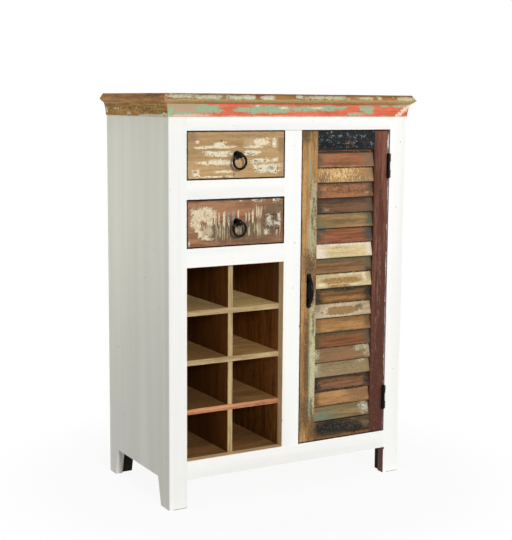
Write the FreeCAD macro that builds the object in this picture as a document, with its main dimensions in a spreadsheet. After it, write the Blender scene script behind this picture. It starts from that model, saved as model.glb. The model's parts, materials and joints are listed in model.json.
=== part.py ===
import FreeCAD, Part
import math
import os
import re

import Sketcher

# Highboard: a painted face-frame cabinet with a moulded top, two ring-pull drawers,
# a bottle rack below them and a louvred door. X runs along the front, Y to the back, Z up.
# The origin lies on the floor, under the middle of the whole cabinet.

doc = FreeCAD.newDocument("Highboard")
sheet = doc.addObject("Spreadsheet::Sheet", "Sizes")
pieces = []

# Driving dimensions, in millimetres and degrees
SIZES = {
    # Carcass
    "carcass_width": 755,
    "carcass_depth": 406,
    "carcass_height": 1051,
    "leg_height": 78,
    "side_thickness": 20,
    "front_leg_depth": 72,
    "front_foot_depth": 53,
    "rear_leg_depth": 62,
    "rear_foot_depth": 43,
    "seam_width": 0.8,
    "seam_depth": 0.25,
    "back_thickness": 12,
    "inner_thickness": 15,
    "front_block_depth": 16,
    "rear_block_width": 30,
    "block_foot_gap": 4,
    # Face frame
    "frame_thickness": 25,
    "stile_width": 53,
    "mid_stile_width": 55,
    "top_rail_height": 36,
    "drawer_rail_height": 51.5,
    "bottom_rail_height": 52,
    "drawer_opening_height": 128,
    "arris_radius": 2.5,
    "tenon_thickness": 8,
    "tenon_length": 18,
    "tenon_shoulder": 5,
    # Crown and top
    "crown_height": 34.5,
    "crown_depth": 60,
    "crown_foot": 3,
    "crown_overhang": 9,
    "cove_radius": 120,
    "crown_back_thickness": 20,
    "top_thickness": 26.5,
    "nose_height": 11,
    "nose_overhang": 22.5,
    "nose_radius": 3,
    "bevel_overhang": 11.5,
    "nosing_reach": 46,
    "plank_chamfer": 1,
    # Bottle rack and cupboard
    "shelf_housing": 5,
    "halving_clearance": 0.2,
    "divider_shift": 4,
    "cupboard_shelf_height": 560,
    "cupboard_shelf_setback": 22,
    "batten_size": 20,
    "batten_setback": 47,
    # Drawers
    "front_gap": 2.5,
    "drawer_front_thickness": 20,
    "drawer_side_thickness": 12,
    "drawer_side_clearance": 3,
    "drawer_box_height": 92,
    "drawer_back_gap": 24,
    "drawer_front_housing": 6,
    "drawer_bottom_thickness": 6,
    "drawer_groove_depth": 5,
    "drawer_groove_height": 10,
    "panel_clearance": 0.3,
    "runner_width": 20,
    "runner_height": 15,
    "runner_clearance": 0.3,
    "front_edge_radius": 1.5,
    # Ring pulls
    "rosette_radius": 11,
    "rosette_thickness": 2.5,
    "neck_radius": 3.5,
    "ball_radius": 8.6,
    "ball_reach": 17.4,
    "stud_radius": 3,
    "stud_length": 12,
    "stud_clearance": 0.2,
    "ring_radius": 18.8,
    "ring_wire_radius": 3.3,
    "ring_clearance": 0.4,
    # Door
    "door_thickness": 24,
    "door_stile_width": 50,
    "door_rail_height": 52,
    "slat_count": 18,
    "slat_tilt": 13,
    "slat_width": 49,
    "slat_thickness": 7.5,
    "slat_setback": 1.5,
    "slat_easing": 1.5,
    "slat_housing": 8,
    "slat_clearance": 0.15,
    # Handle
    "handle_height": 568,
    "handle_inset": 25,
    "handle_length": 98,
    "handle_plate_width": 14,
    "handle_plate_thickness": 2.5,
    "handle_end_radius": 7.2,
    "handle_reach": 21,
    "handle_bow_width": 10,
    "handle_bow_thickness": 6,
    "handle_foot": 3,
    "handle_root": 9,
    "handle_edge_radius": 2.5,
    # Hinges and catch
    "hinge_inset": 100,
    "hinge_length": 69,
    "barrel_radius": 4.3,
    "barrel_proud": 0.8,
    "barrel_shift": 5.7,
    "knuckle_gap": 0.3,
    "leaf_thickness": 1.5,
    "leaf_width": 20,
    "leaf_gap": 0.2,
    "pin_radius": 2,
    "pin_clearance": 0.05,
    "pin_head_radius": 3.6,
    "pin_head_height": 2.5,
    "catch_inset": 120,
    "catch_seat": 18,
    "catch_reach": 20,
    "catch_depth": 14,
    "catch_height": 34,
    "catch_gap": 0.4,
    "strike_thickness": 1.5,
    "strike_width": 14,
    "strike_height": 30,
}
SIDE_BOARDS = 4
BACK_BOARDS = 6
TOP_PLANKS = 3
RACK_ROWS = 4

for row, (alias, size) in enumerate(SIZES.items(), start=1):
    sheet.set(f"A{row}", alias)
    sheet.set(f"B{row}", str(size))
    sheet.setAlias(f"B{row}", alias)
doc.recompute()

# Places that several pieces share, written as formulas of the driving dimensions
SIDE = "(carcass_width / 2)"
FRONT_REACH = "max(ball_reach + ball_radius; handle_reach; nose_overhang)"
FRONT = f"(({FRONT_REACH} - carcass_depth) / 2)"
FRAME_BACK = f"({FRONT} + frame_thickness)"
BACK = f"({FRONT} + carcass_depth)"
INNER_DEPTH = "(carcass_depth - frame_thickness - back_thickness)"
INNER_HALF = f"({SIDE} - side_thickness)"
BAY = "((carcass_width - 2 * stile_width - mid_stile_width) / 2)"
LEFT_BAY = f"(stile_width - {SIDE})"
FLOOR_TOP = "(leg_height + bottom_rail_height)"
OPENING_TOP = "(carcass_height - top_rail_height)"
UPPER_DRAWER = f"({OPENING_TOP} - drawer_opening_height)"
UPPER_RAIL = f"({UPPER_DRAWER} - drawer_rail_height)"
LOWER_DRAWER = f"({UPPER_RAIL} - drawer_opening_height)"
LOWER_RAIL = f"({LOWER_DRAWER} - drawer_rail_height)"
RACK_HEIGHT = f"({LOWER_RAIL} - {FLOOR_TOP})"
ROW_PITCH = f"(({RACK_HEIGHT} + inner_thickness) / {RACK_ROWS})"
TENON_INSET = "((frame_thickness - tenon_thickness) / 2)"


def formula(text):
    """The text with every size in it pointed at its cell."""
    return re.sub(r"[a-z][a-z_]*", lambda word: f"Sizes.{word[0]}" if word[0] in SIZES else word[0], text)


def value(text):
    return float(sheet.evalExpression(formula(text)))


def place(piece, x, y, z):
    for axis, text in zip("xyz", (x, y, z)):
        piece.setExpression(f".Placement.Base.{axis}", formula(text))


def new_body(label, x, y, z):
    body = doc.addObject("PartDesign::Body", label)
    body.Label = label
    place(body, x, y, z)
    pieces.append(body)
    return body


def board(label, size, corner):
    """A plain rectangular board from its three sizes and its lowest corner."""
    box = doc.addObject("Part::Box", label)
    box.Label = label
    for side, text in zip(("Length", "Width", "Height"), size):
        box.setExpression(side, formula(text))
    place(box, *corner)
    pieces.append(box)


def datum(body, role):
    return next(feature for feature in body.Origin.OriginFeatures if feature.Role == role)


def faces_backwards(sketch):
    """The XZ plane is the one whose normal runs against its axis."""
    return sketch.AttachmentSupport[0][0].Role == "XZ_Plane"


def new_sketch(body, plane, offset="0"):
    """A sketch on a plane of the body, moved along the positive axis by the offset."""
    sketch = body.newObject("Sketcher::SketchObject", f"{body.Name}_sketch")
    sketch.AttachmentSupport = (datum(body, f"{plane}_Plane"), [""])
    sketch.MapMode = "FlatFace"
    sign = "-1" if faces_backwards(sketch) else "1"
    sketch.setExpression(".AttachmentOffset.Base.z", formula(f"{sign} * ({offset})"))
    return sketch


def arc_between(start, end, radius, side):
    """The arc from start to end whose centre lies to the left (+1) or right (-1) of that way."""
    way = end - start
    rise = math.sqrt(max(radius ** 2 - way.Length ** 2 / 4, 0))
    left = FreeCAD.Vector(-way.y, way.x, 0).normalize()
    centre = (start + end) * 0.5 + left * (side * rise)
    first, last = (start, end) if side > 0 else (end, start)
    angles = [math.atan2(point.y - centre.y, point.x - centre.x) for point in (first, last)]
    circle = Part.Circle(centre, FreeCAD.Vector(0, 0, 1), radius)
    return Part.ArcOfCircle(circle, angles[0], angles[1])


def outline(sketch, corners, arcs=None):
    """A closed outline through corners given as pairs of formulas.

    arcs maps the number of an edge to the formula of its radius and the side of its centre.
    """
    arcs = arcs or {}
    points = [FreeCAD.Vector(value(x), value(y), 0) for x, y in corners]
    base = sketch.GeometryCount
    count = len(points)
    ends = []
    for edge in range(count):
        start, end = points[edge], points[(edge + 1) % count]
        if edge in arcs:
            radius, side = arcs[edge]
            sketch.addGeometry(arc_between(start, end, value(radius), side))
            ends.append((1, 2) if side > 0 else (2, 1))
        else:
            sketch.addGeometry(Part.LineSegment(start, end))
            ends.append((1, 2))
    for edge in range(count):
        after = (edge + 1) % count
        joint = (base + edge, ends[edge][1], base + after, ends[after][0])
        sketch.addConstraint(Sketcher.Constraint("Coincident", *joint))
    for edge, corner in enumerate(corners):
        for kind, text in zip(("DistanceX", "DistanceY"), corner):
            dimension = Sketcher.Constraint(kind, -1, 1, base + edge, ends[edge][0], value(text))
            drive(sketch, dimension, text)
    for edge, (radius, side) in arcs.items():
        drive(sketch, Sketcher.Constraint("Radius", base + edge, value(radius)), radius)


def drive(sketch, dimension, text):
    number = sketch.addConstraint(dimension)
    sketch.setExpression(f"Constraints[{number}]", formula(text))


def rectangle(sketch, x, y, width, height):
    right, top = f"{x} + {width}", f"{y} + {height}"
    outline(sketch, [(x, y), (right, y), (right, top), (x, top)])


def circle(sketch, x, y, radius):
    centre = FreeCAD.Vector(value(x), value(y), 0)
    sketch.addGeometry(Part.Circle(centre, FreeCAD.Vector(0, 0, 1), value(radius)))
    for kind, text in (("DistanceX", x), ("DistanceY", y)):
        drive(sketch, Sketcher.Constraint(kind, -1, 1, 0, 3, value(text)), text)
    drive(sketch, Sketcher.Constraint("Radius", 0, value(radius)), radius)


def pad(body, sketch, length):
    """Material from the sketch along the positive axis."""
    feature = body.newObject("PartDesign::Pad", f"{body.Name}_pad")
    feature.Profile = sketch
    feature.setExpression("Length", formula(length))
    feature.Reversed = faces_backwards(sketch)
    return feature


def cut(body, sketch, length, way):
    """A recess from the sketch along the axis, the positive way (+1) or the negative way (-1)."""
    feature = body.newObject("PartDesign::Pocket", f"{body.Name}_cut")
    feature.Profile = sketch
    feature.setExpression("Length", formula(length))
    feature.Reversed = (way > 0) != faces_backwards(sketch)
    return feature


def revolve(body, sketch, axis):
    feature = body.newObject("PartDesign::Revolution", f"{body.Name}_revolution")
    feature.Profile = sketch
    feature.ReferenceAxis = (sketch, [axis])
    feature.Angle = 360
    return feature


def repeat(body, features, axis, length, count):
    pattern = body.newObject("PartDesign::LinearPattern", f"{body.Name}_pattern")
    pattern.Originals = features
    pattern.Direction = (datum(body, f"{axis}_Axis"), [""])
    pattern.setExpression("Length", formula(length))
    pattern.setExpression("Occurrences", formula(count))
    body.Tip = pattern
    return pattern


def mirror(body, features, plane):
    mirrored = body.newObject("PartDesign::Mirrored", f"{body.Name}_mirror")
    mirrored.Originals = features
    mirrored.MirrorPlane = (datum(body, f"{plane}_Plane"), [""])
    body.Tip = mirrored
    return mirrored


def dress(body, kind, size_name, size, chosen):
    """A fillet or chamfer on the edges of the body that the test picks by their bounding box."""
    doc.recompute()
    base = body.Tip
    names = [f"Edge{number}" for number, edge in enumerate(base.Shape.Edges, start=1) if chosen(edge)]
    feature = body.newObject(f"PartDesign::{kind}", f"{body.Name}_{kind.lower()}")
    feature.Base = (base, names)
    feature.setExpression(size_name, formula(size))
    return feature


def near(a, b):
    return abs(a - b) < 1e-4


def upright_at(x, y):
    """Picks the upright edge over the given point."""
    place_x, place_y = value(x), value(y)

    def chosen(edge):
        box = edge.BoundBox
        across = [box.XMin - place_x, box.XMax - place_x, box.YMin - place_y, box.YMax - place_y]
        return box.ZLength > 1 and all(near(gap, 0) for gap in across)

    return chosen


# Face frame: stiles that run down to the floor as legs, tenoned rails between them

def mortise(body, edge, way, base, height):
    sketch = new_sketch(body, "YZ", edge)
    tenon_height = f"{height} - 2 * tenon_shoulder"
    rectangle(sketch, TENON_INSET, f"{base} + tenon_shoulder", "tenon_thickness", tenon_height)
    cut(body, sketch, "tenon_length", way)


def side_stile(label, x, inner_edge, way, outer_edge, rails):
    body = new_body(label, x, FRONT, "0")
    section = new_sketch(body, "XY")
    rectangle(section, "0", "0", "stile_width", "frame_thickness")
    pad(body, section, "carcass_height")
    for base, height in rails:
        mortise(body, inner_edge, way, base, height)
    dress(body, "Fillet", "Radius", "arris_radius", upright_at(outer_edge, "0"))


def rail(label, length, height, x, z):
    body = new_body(label, x, FRONT, z)
    section = new_sketch(body, "YZ")
    rectangle(section, "0", "0", "frame_thickness", height)
    pad(body, section, length)
    tenon = new_sketch(body, "YZ", "-tenon_length")
    rectangle(tenon, TENON_INSET, "tenon_shoulder", "tenon_thickness", f"{height} - 2 * tenon_shoulder")
    pad(body, tenon, f"{length} + 2 * tenon_length")
    return body


def mid_stile_mortise(body, face, way):
    sketch = new_sketch(body, "XY", face)
    start = f"{BAY} + tenon_shoulder"
    rectangle(sketch, start, TENON_INSET, "mid_stile_width - 2 * tenon_shoulder", "tenon_thickness")
    cut(body, sketch, "tenon_length", way)


outer_rails = [("leg_height", "bottom_rail_height"), (OPENING_TOP, "top_rail_height")]
drawer_rails = [(LOWER_RAIL, "drawer_rail_height"), (UPPER_RAIL, "drawer_rail_height")]
side_stile("left_stile", f"-{SIDE}", "stile_width", -1, "0", outer_rails + drawer_rails)
side_stile("right_stile", f"{SIDE} - stile_width", "0", 1, "stile_width", outer_rails)

clear_width = "(carcass_width - 2 * stile_width)"
top_rail = rail("top_rail", clear_width, "top_rail_height", LEFT_BAY, OPENING_TOP)
mid_stile_mortise(top_rail, "0", 1)
bottom_rail = rail("bottom_rail", clear_width, "bottom_rail_height", LEFT_BAY, "leg_height")
mid_stile_mortise(bottom_rail, "bottom_rail_height", -1)
rail("upper_drawer_rail", BAY, "drawer_rail_height", LEFT_BAY, UPPER_RAIL)
rail("lower_drawer_rail", BAY, "drawer_rail_height", LEFT_BAY, LOWER_RAIL)

mid_stile = new_body("mid_stile", "-mid_stile_width / 2", FRONT, FLOOR_TOP)
mid_section = new_sketch(mid_stile, "XY")
rectangle(mid_section, "0", "0", "mid_stile_width", "frame_thickness")
pad(mid_stile, mid_section, f"{OPENING_TOP} - {FLOOR_TOP}")
mid_tenon = new_sketch(mid_stile, "XY", "-tenon_length")
mid_tenon_width = "mid_stile_width - 2 * tenon_shoulder"
rectangle(mid_tenon, "tenon_shoulder", TENON_INSET, mid_tenon_width, "tenon_thickness")
pad(mid_stile, mid_tenon, f"{OPENING_TOP} - {FLOOR_TOP} + 2 * tenon_length")
for rail_base, rail_height in drawer_rails:
    mortise(mid_stile, "0", 1, f"{rail_base} - {FLOOR_TOP}", rail_height)


# Sides: panels glued up from boards, cut out at the foot between two tapered legs

def side_panel(label, x, outer_face, seam_bottom):
    body = new_body(label, x, FRAME_BACK, "0")
    length = "(carcass_depth - frame_thickness)"
    profile = new_sketch(body, "YZ")
    outline(profile, [
        ("0", "0"),
        ("front_foot_depth - frame_thickness", "0"),
        ("front_leg_depth - frame_thickness", "leg_height"),
        (f"{length} - rear_leg_depth", "leg_height"),
        (f"{length} - rear_foot_depth", "0"),
        (length, "0"),
        (length, "carcass_height"),
        ("0", "carcass_height"),
    ])
    pad(body, profile, "side_thickness")
    seam = f"(carcass_depth / {SIDE_BOARDS} - frame_thickness)"
    groove = new_sketch(body, "XY")
    outline(groove, [
        (outer_face, f"{seam} - seam_width / 2"),
        (seam_bottom, seam),
        (outer_face, f"{seam} + seam_width / 2"),
    ])
    line = cut(body, groove, "carcass_height", 1)
    repeat(body, [line], "Y", f"carcass_depth * {SIDE_BOARDS - 2} / {SIDE_BOARDS}", f"{SIDE_BOARDS - 1}")


side_panel("left_side", f"-{SIDE}", "0", "seam_depth")
side_panel("right_side", INNER_HALF, "side_thickness", "side_thickness - seam_depth")

back_panel = new_body("back_panel", f"-{INNER_HALF}", f"{BACK} - back_thickness", "leg_height")
back_sheet = new_sketch(back_panel, "XZ")
rectangle(back_sheet, "0", "0", f"2 * {INNER_HALF}", "carcass_height - leg_height")
pad(back_panel, back_sheet, "back_thickness")
back_seam = f"(2 * {INNER_HALF} / {BACK_BOARDS})"
back_groove = new_sketch(back_panel, "XY")
outline(back_groove, [
    (f"{back_seam} - seam_width / 2", "back_thickness"),
    (back_seam, "back_thickness - seam_depth"),
    (f"{back_seam} + seam_width / 2", "back_thickness"),
])
back_line = cut(back_panel, back_groove, "carcass_height - leg_height", 1)
repeat(back_panel, [back_line], "X", f"{back_seam} * {BACK_BOARDS - 2}", f"{BACK_BOARDS - 1}")

floor_underside = f"({FLOOR_TOP} - inner_thickness)"
board("bottom_board", (f"2 * {INNER_HALF}", INNER_DEPTH, "inner_thickness"),
      (f"-{INNER_HALF}", FRAME_BACK, floor_underside))

# Leg blocks: glued in the corners below the bottom board, the rear pair tapered like the legs
leg_blocks = new_body("leg_blocks", "0", FRONT, "0")
front_foot = new_sketch(leg_blocks, "XY", "block_foot_gap")
front_block_width = "stile_width - side_thickness"
rectangle(front_foot, f"-{INNER_HALF}", "frame_thickness", front_block_width, "front_block_depth")
front_block = pad(leg_blocks, front_foot, f"{floor_underside} - block_foot_gap")
taper = "((rear_leg_depth - rear_foot_depth) / leg_height)"
rear_foot = new_sketch(leg_blocks, "YZ", f"-{INNER_HALF}")
outline(rear_foot, [
    (f"carcass_depth - rear_foot_depth - block_foot_gap * {taper}", "block_foot_gap"),
    ("carcass_depth - back_thickness", "block_foot_gap"),
    ("carcass_depth - back_thickness", floor_underside),
    ("carcass_depth - rear_leg_depth", floor_underside),
    ("carcass_depth - rear_leg_depth", "leg_height"),
])
rear_block = pad(leg_blocks, rear_foot, "rear_block_width")
mirror(leg_blocks, [front_block, rear_block], "YZ")


# Inner walls, housed for the shelves of the rack

def inner_wall(label, x, face, way):
    body = new_body(label, x, FRAME_BACK, FLOOR_TOP)
    sheet_outline = new_sketch(body, "YZ")
    rectangle(sheet_outline, "0", "0", INNER_DEPTH, f"carcass_height - {FLOOR_TOP}")
    pad(body, sheet_outline, "inner_thickness")
    housing = new_sketch(body, "YZ", face)
    rectangle(housing, "0", f"{ROW_PITCH} - inner_thickness", INNER_DEPTH, "inner_thickness")
    slot = cut(body, housing, "shelf_housing", way)
    repeat(body, [slot], "Z", f"{ROW_PITCH} * {RACK_ROWS - 2}", f"{RACK_ROWS - 1}")


inner_wall("left_lining", f"{LEFT_BAY} - inner_thickness", "inner_thickness", -1)
inner_wall("partition", "-mid_stile_width / 2", "0", 1)
board("rack_top", (BAY, INNER_DEPTH, "inner_thickness"), (LEFT_BAY, FRAME_BACK, LOWER_RAIL))

# Rack: the divider is notched from the front and the shelves from the back
divider_x = f"({BAY} / 2 - divider_shift - inner_thickness / 2)"
notch_inset = "(halving_clearance / 2)"
rack_divider = new_body("rack_divider", f"{LEFT_BAY} + {divider_x}", FRAME_BACK, FLOOR_TOP)
divider_sheet = new_sketch(rack_divider, "YZ")
rectangle(divider_sheet, "0", "0", INNER_DEPTH, RACK_HEIGHT)
pad(rack_divider, divider_sheet, "inner_thickness")
notch = new_sketch(rack_divider, "YZ")
notch_base = f"{ROW_PITCH} - inner_thickness - {notch_inset}"
rectangle(notch, "0", notch_base, f"{INNER_DEPTH} / 2", "inner_thickness + halving_clearance")
divider_notch = cut(rack_divider, notch, "inner_thickness", 1)
repeat(rack_divider, [divider_notch], "Z", f"{ROW_PITCH} * {RACK_ROWS - 2}", f"{RACK_ROWS - 1}")

for shelf in range(1, RACK_ROWS):
    shelf_base = f"{FLOOR_TOP} + {shelf} * {ROW_PITCH} - inner_thickness"
    rack_shelf = new_body(f"rack_shelf_{shelf}", LEFT_BAY, FRAME_BACK, shelf_base)
    left, right = f"{divider_x} - {notch_inset}", f"{divider_x} + inner_thickness + {notch_inset}"
    shelf_sheet = new_sketch(rack_shelf, "XY")
    outline(shelf_sheet, [
        ("-shelf_housing", "0"),
        (f"{BAY} + shelf_housing", "0"),
        (f"{BAY} + shelf_housing", INNER_DEPTH),
        (right, INNER_DEPTH),
        (right, f"{INNER_DEPTH} / 2"),
        (left, f"{INNER_DEPTH} / 2"),
        (left, INNER_DEPTH),
        ("-shelf_housing", INNER_DEPTH),
    ])
    pad(rack_shelf, shelf_sheet, "inner_thickness")

# Drawer runners: one bar at each side of each drawer
drawer_runners = new_body("drawer_runners", LEFT_BAY, FRAME_BACK, f"{LOWER_DRAWER} - runner_height")
runner_section = new_sketch(drawer_runners, "XZ")
rectangle(runner_section, "0", "0", "runner_width", "runner_height")
runner = pad(drawer_runners, runner_section, INNER_DEPTH)
runner_grid = repeat(drawer_runners, [runner], "X", f"{BAY} - runner_width", "2")
runner_grid.Direction2 = (datum(drawer_runners, "Z_Axis"), [""])
runner_grid.setExpression("Length2", formula(f"{UPPER_DRAWER} - {LOWER_DRAWER}"))
runner_grid.Occurrences2 = 2

# Cupboard behind the door: one shelf on two battens
cupboard_left = "(inner_thickness - mid_stile_width / 2)"
cupboard_width = f"({INNER_HALF} - {cupboard_left})"
board("cupboard_shelf",
      (cupboard_width, f"{INNER_DEPTH} - cupboard_shelf_setback", "inner_thickness"),
      (cupboard_left, f"{FRAME_BACK} + cupboard_shelf_setback", "cupboard_shelf_height"))
batten_start = "(cupboard_shelf_setback + batten_setback)"
shelf_battens = new_body("shelf_battens", cupboard_left, f"{FRAME_BACK} + {batten_start}",
                         "cupboard_shelf_height - batten_size")
batten_section = new_sketch(shelf_battens, "XZ")
rectangle(batten_section, "0", "0", "batten_size", "batten_size")
batten = pad(shelf_battens, batten_section, f"{INNER_DEPTH} - {batten_start}")
repeat(shelf_battens, [batten], "X", f"{cupboard_width} - batten_size", "2")


# Crown and top: mouldings mitred at the front corners and square at the back

def front_moulding(label, z, height, corners, arcs, out, reach):
    body = new_body(label, "0", FRONT, z)
    section = new_sketch(body, "YZ", f"-{SIDE} - {out}")
    outline(section, corners, arcs)
    pad(body, section, f"carcass_width + 2 * {out}")
    corner = new_sketch(body, "XY")
    outline(corner, [
        (f"-{SIDE} - {out}", f"-{out}"),
        (f"{reach} - {SIDE}", reach),
        (f"-{SIDE} - {out}", reach),
    ])
    mitre = cut(body, corner, height, 1)
    mirror(body, [mitre], "YZ")
    return body


def side_moulding(label, hand, z, height, corners, arcs, out, reach):
    """hand is +1 for the right side and -1 for the left; corners count outwards as negative."""
    body = new_body(label, f"{hand} * {SIDE}", FRONT, z)
    section = new_sketch(body, "XZ", f"-{out}")
    outline(section, [(f"{-hand} * ({x})", y) for x, y in corners], arcs)
    pad(body, section, f"carcass_depth + {out}")
    corner = new_sketch(body, "XY")
    outline(corner, [
        (f"{hand} * {out}", f"-{out}"),
        (f"{-hand} * {reach}", f"-{out}"),
        (f"{-hand} * {reach}", reach),
    ])
    cut(body, corner, height, 1)
    return body


crown_corners = [
    ("-crown_foot", "0"),
    ("-crown_overhang", "crown_height"),
    ("crown_depth", "crown_height"),
    ("crown_depth", "0"),
]
crown = ("carcass_height", "crown_height", crown_corners)
front_moulding("crown_front", *crown, {0: ("cove_radius", 1)}, "crown_overhang", "crown_depth")
side_moulding("crown_left", -1, *crown, {0: ("cove_radius", 1)}, "crown_overhang", "crown_depth")
side_moulding("crown_right", 1, *crown, {0: ("cove_radius", -1)}, "crown_overhang", "crown_depth")
board("crown_back", (f"2 * ({SIDE} - crown_depth)", "crown_back_thickness", "crown_height"),
      (f"crown_depth - {SIDE}", f"{BACK} - crown_back_thickness", "carcass_height"))

TOP_BASE = "(carcass_height + crown_height)"
nosing_corners = [
    ("-crown_overhang", "0"),
    ("-nose_overhang", "nose_height"),
    ("-bevel_overhang", "top_thickness"),
    ("nosing_reach", "top_thickness"),
    ("nosing_reach", "0"),
]
nosing = (TOP_BASE, "top_thickness", nosing_corners, {}, "nose_overhang", "nosing_reach")
nose = value("nose_height")


def nose_edge(edge):
    return near(edge.BoundBox.ZMin, nose) and near(edge.BoundBox.ZMax, nose)


for nosing_body in (
    front_moulding("front_nosing", *nosing),
    side_moulding("left_nosing", -1, *nosing),
    side_moulding("right_nosing", 1, *nosing),
):
    dress(nosing_body, "Fillet", "Radius", "nose_radius", nose_edge)

plank_width = f"((carcass_depth - nosing_reach) / {TOP_PLANKS})"
plank_length = f"(2 * ({SIDE} - nosing_reach))"
for plank in range(TOP_PLANKS):
    plank_start = f"{FRONT} + nosing_reach + {plank} * {plank_width}"
    top_plank = new_body(f"top_plank_{plank + 1}", f"-{plank_length} / 2", plank_start, TOP_BASE)
    plank_section = new_sketch(top_plank, "YZ")
    outline(plank_section, [
        ("0", "0"),
        (plank_width, "0"),
        (plank_width, "top_thickness - plank_chamfer"),
        (f"{plank_width} - plank_chamfer", "top_thickness"),
        ("plank_chamfer", "top_thickness"),
        ("0", "top_thickness - plank_chamfer"),
    ])
    pad(top_plank, plank_section, plank_length)


# Drawers: a flush front housed over two grooved sides, a back and a bottom panel

def drawer(name, base):
    home = (LEFT_BAY, FRONT, base)
    rear = "(carcass_depth - back_thickness - drawer_back_gap)"
    right_side_x = f"({BAY} - drawer_side_clearance - drawer_side_thickness)"
    panel_height = "(runner_clearance + drawer_groove_height)"
    groove_height = "(drawer_bottom_thickness + panel_clearance)"

    front = new_body(f"{name}_drawer_front", *home)
    face = new_sketch(front, "XZ")
    front_height = "drawer_opening_height - 2 * front_gap"
    rectangle(face, "front_gap", "front_gap", f"{BAY} - 2 * front_gap", front_height)
    pad(front, face, "drawer_front_thickness")
    dress(front, "Fillet", "Radius", "front_edge_radius", lambda edge: near(edge.BoundBox.YMax, 0))
    for start in ("drawer_side_clearance", right_side_x):
        housing = new_sketch(front, "XZ", "drawer_front_thickness")
        rectangle(housing, start, "runner_clearance", "drawer_side_thickness", "drawer_box_height")
        cut(front, housing, "drawer_front_housing", -1)
    groove = new_sketch(front, "XZ", "drawer_front_thickness")
    groove_start = "drawer_side_clearance + drawer_side_thickness"
    rectangle(groove, groove_start, panel_height, f"{right_side_x} - {groove_start}", groove_height)
    cut(front, groove, "drawer_groove_depth", -1)
    stud_hole = new_sketch(front, "XZ")
    circle(stud_hole, f"{BAY} / 2", "drawer_opening_height / 2", "stud_radius + stud_clearance")
    cut(front, stud_hole, "stud_length + stud_clearance", 1)

    for hand, x, inner_face, way in (
        ("left", "drawer_side_clearance", "drawer_side_thickness", -1),
        ("right", right_side_x, "0", 1),
    ):
        side = new_body(f"{name}_drawer_{hand}_side", f"{LEFT_BAY} + {x}", FRONT, base)
        start = "(drawer_front_thickness - drawer_front_housing)"
        profile = new_sketch(side, "YZ")
        rectangle(profile, start, "runner_clearance", f"{rear} - {start}", "drawer_box_height")
        pad(side, profile, "drawer_side_thickness")
        slot = new_sketch(side, "YZ", inner_face)
        rectangle(slot, start, panel_height, f"{rear} - {start}", groove_height)
        cut(side, slot, "drawer_groove_depth", way)

    inner_width = f"({BAY} - 2 * (drawer_side_clearance + drawer_side_thickness))"
    inner_x = f"{LEFT_BAY} + drawer_side_clearance + drawer_side_thickness"
    back_base = f"({panel_height} + drawer_bottom_thickness)"
    board(f"{name}_drawer_back",
          (inner_width, "drawer_side_thickness", f"runner_clearance + drawer_box_height - {back_base}"),
          (inner_x, f"{FRONT} + {rear} - drawer_side_thickness", f"{base} + {back_base}"))
    tongue = "(drawer_groove_depth - panel_clearance)"
    panel_start = f"(drawer_front_thickness - {tongue})"
    board(f"{name}_drawer_bottom",
          (f"{inner_width} + 2 * {tongue}", f"{rear} - {panel_start}", "drawer_bottom_thickness"),
          (f"{inner_x} - {tongue}", f"{FRONT} + {panel_start}", f"{base} + {panel_height}"))


# Ring pulls: a turned post with a rosette and a bored ball, and a ring hung through the bore,
# which is wide enough for the bend of the wire inside the ball
HALF_BEND = "(ball_radius ^ 2 / (4 * ring_radius))"


def ring_pull(name, base):
    pull_x, pull_z = f"{LEFT_BAY} + {BAY} / 2", f"{base} + drawer_opening_height / 2"
    post = new_body(f"{name}_pull_post", pull_x, FRONT, pull_z)
    neck_end = "-ball_reach + sqrt(ball_radius ^ 2 - neck_radius ^ 2)"
    profile = new_sketch(post, "XY")
    outline(profile, [
        ("0", "stud_length"),
        ("0", "-ball_reach - ball_radius"),
        ("neck_radius", neck_end),
        ("neck_radius", "-rosette_thickness"),
        ("rosette_radius - rosette_thickness / 2", "-rosette_thickness"),
        ("rosette_radius", "-rosette_thickness / 2"),
        ("rosette_radius", "0"),
        ("stud_radius", "0"),
        ("stud_radius", "stud_length"),
    ], {1: ("ball_radius", 1)})
    revolve(post, profile, "V_Axis")
    bore = new_sketch(post, "YZ", "-ball_radius")
    circle(bore, "-ball_reach", "0", f"ring_wire_radius + {HALF_BEND} + ring_clearance")
    cut(post, bore, "2 * ball_radius", 1)

    ring = doc.addObject("Part::Torus", f"{name}_pull_ring")
    ring.Label = f"{name}_pull_ring"
    ring.setExpression("Radius1", formula("ring_radius"))
    ring.setExpression("Radius2", formula("ring_wire_radius"))
    ring.Placement.Rotation = FreeCAD.Rotation(FreeCAD.Vector(1, 0, 0), 90)
    place(ring, pull_x, f"{FRONT} - ball_reach", f"{pull_z} - ring_radius + {HALF_BEND}")
    pieces.append(ring)


for drawer_name, drawer_base in (("upper", UPPER_DRAWER), ("lower", LOWER_DRAWER)):
    drawer(drawer_name, drawer_base)
    ring_pull(drawer_name, drawer_base)

# Louvred door: tenoned frame whose stiles are slotted for the ends of the slanted slats
HINGE_GAP = "(2 * leaf_thickness + leaf_gap)"
DOOR_X = "(mid_stile_width / 2 + front_gap)"
DOOR_Z = f"({FLOOR_TOP} + front_gap)"
DOOR_WIDTH = f"({BAY} - front_gap - {HINGE_GAP})"
DOOR_HEIGHT = f"({OPENING_TOP} - {FLOOR_TOP} - 2 * front_gap)"
LOUVRE_WIDTH = f"({DOOR_WIDTH} - 2 * door_stile_width)"
LOUVRE_HEIGHT = f"({DOOR_HEIGHT} - 2 * door_rail_height)"
DOOR_TENON_INSET = "((door_thickness - tenon_thickness) / 2)"
SLAT_RISE = "(slat_width * cos(slat_tilt) + slat_thickness * sin(slat_tilt))"
SLAT_TRAVEL = f"({LOUVRE_HEIGHT} - {SLAT_RISE} - 4 * slat_clearance)"


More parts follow.
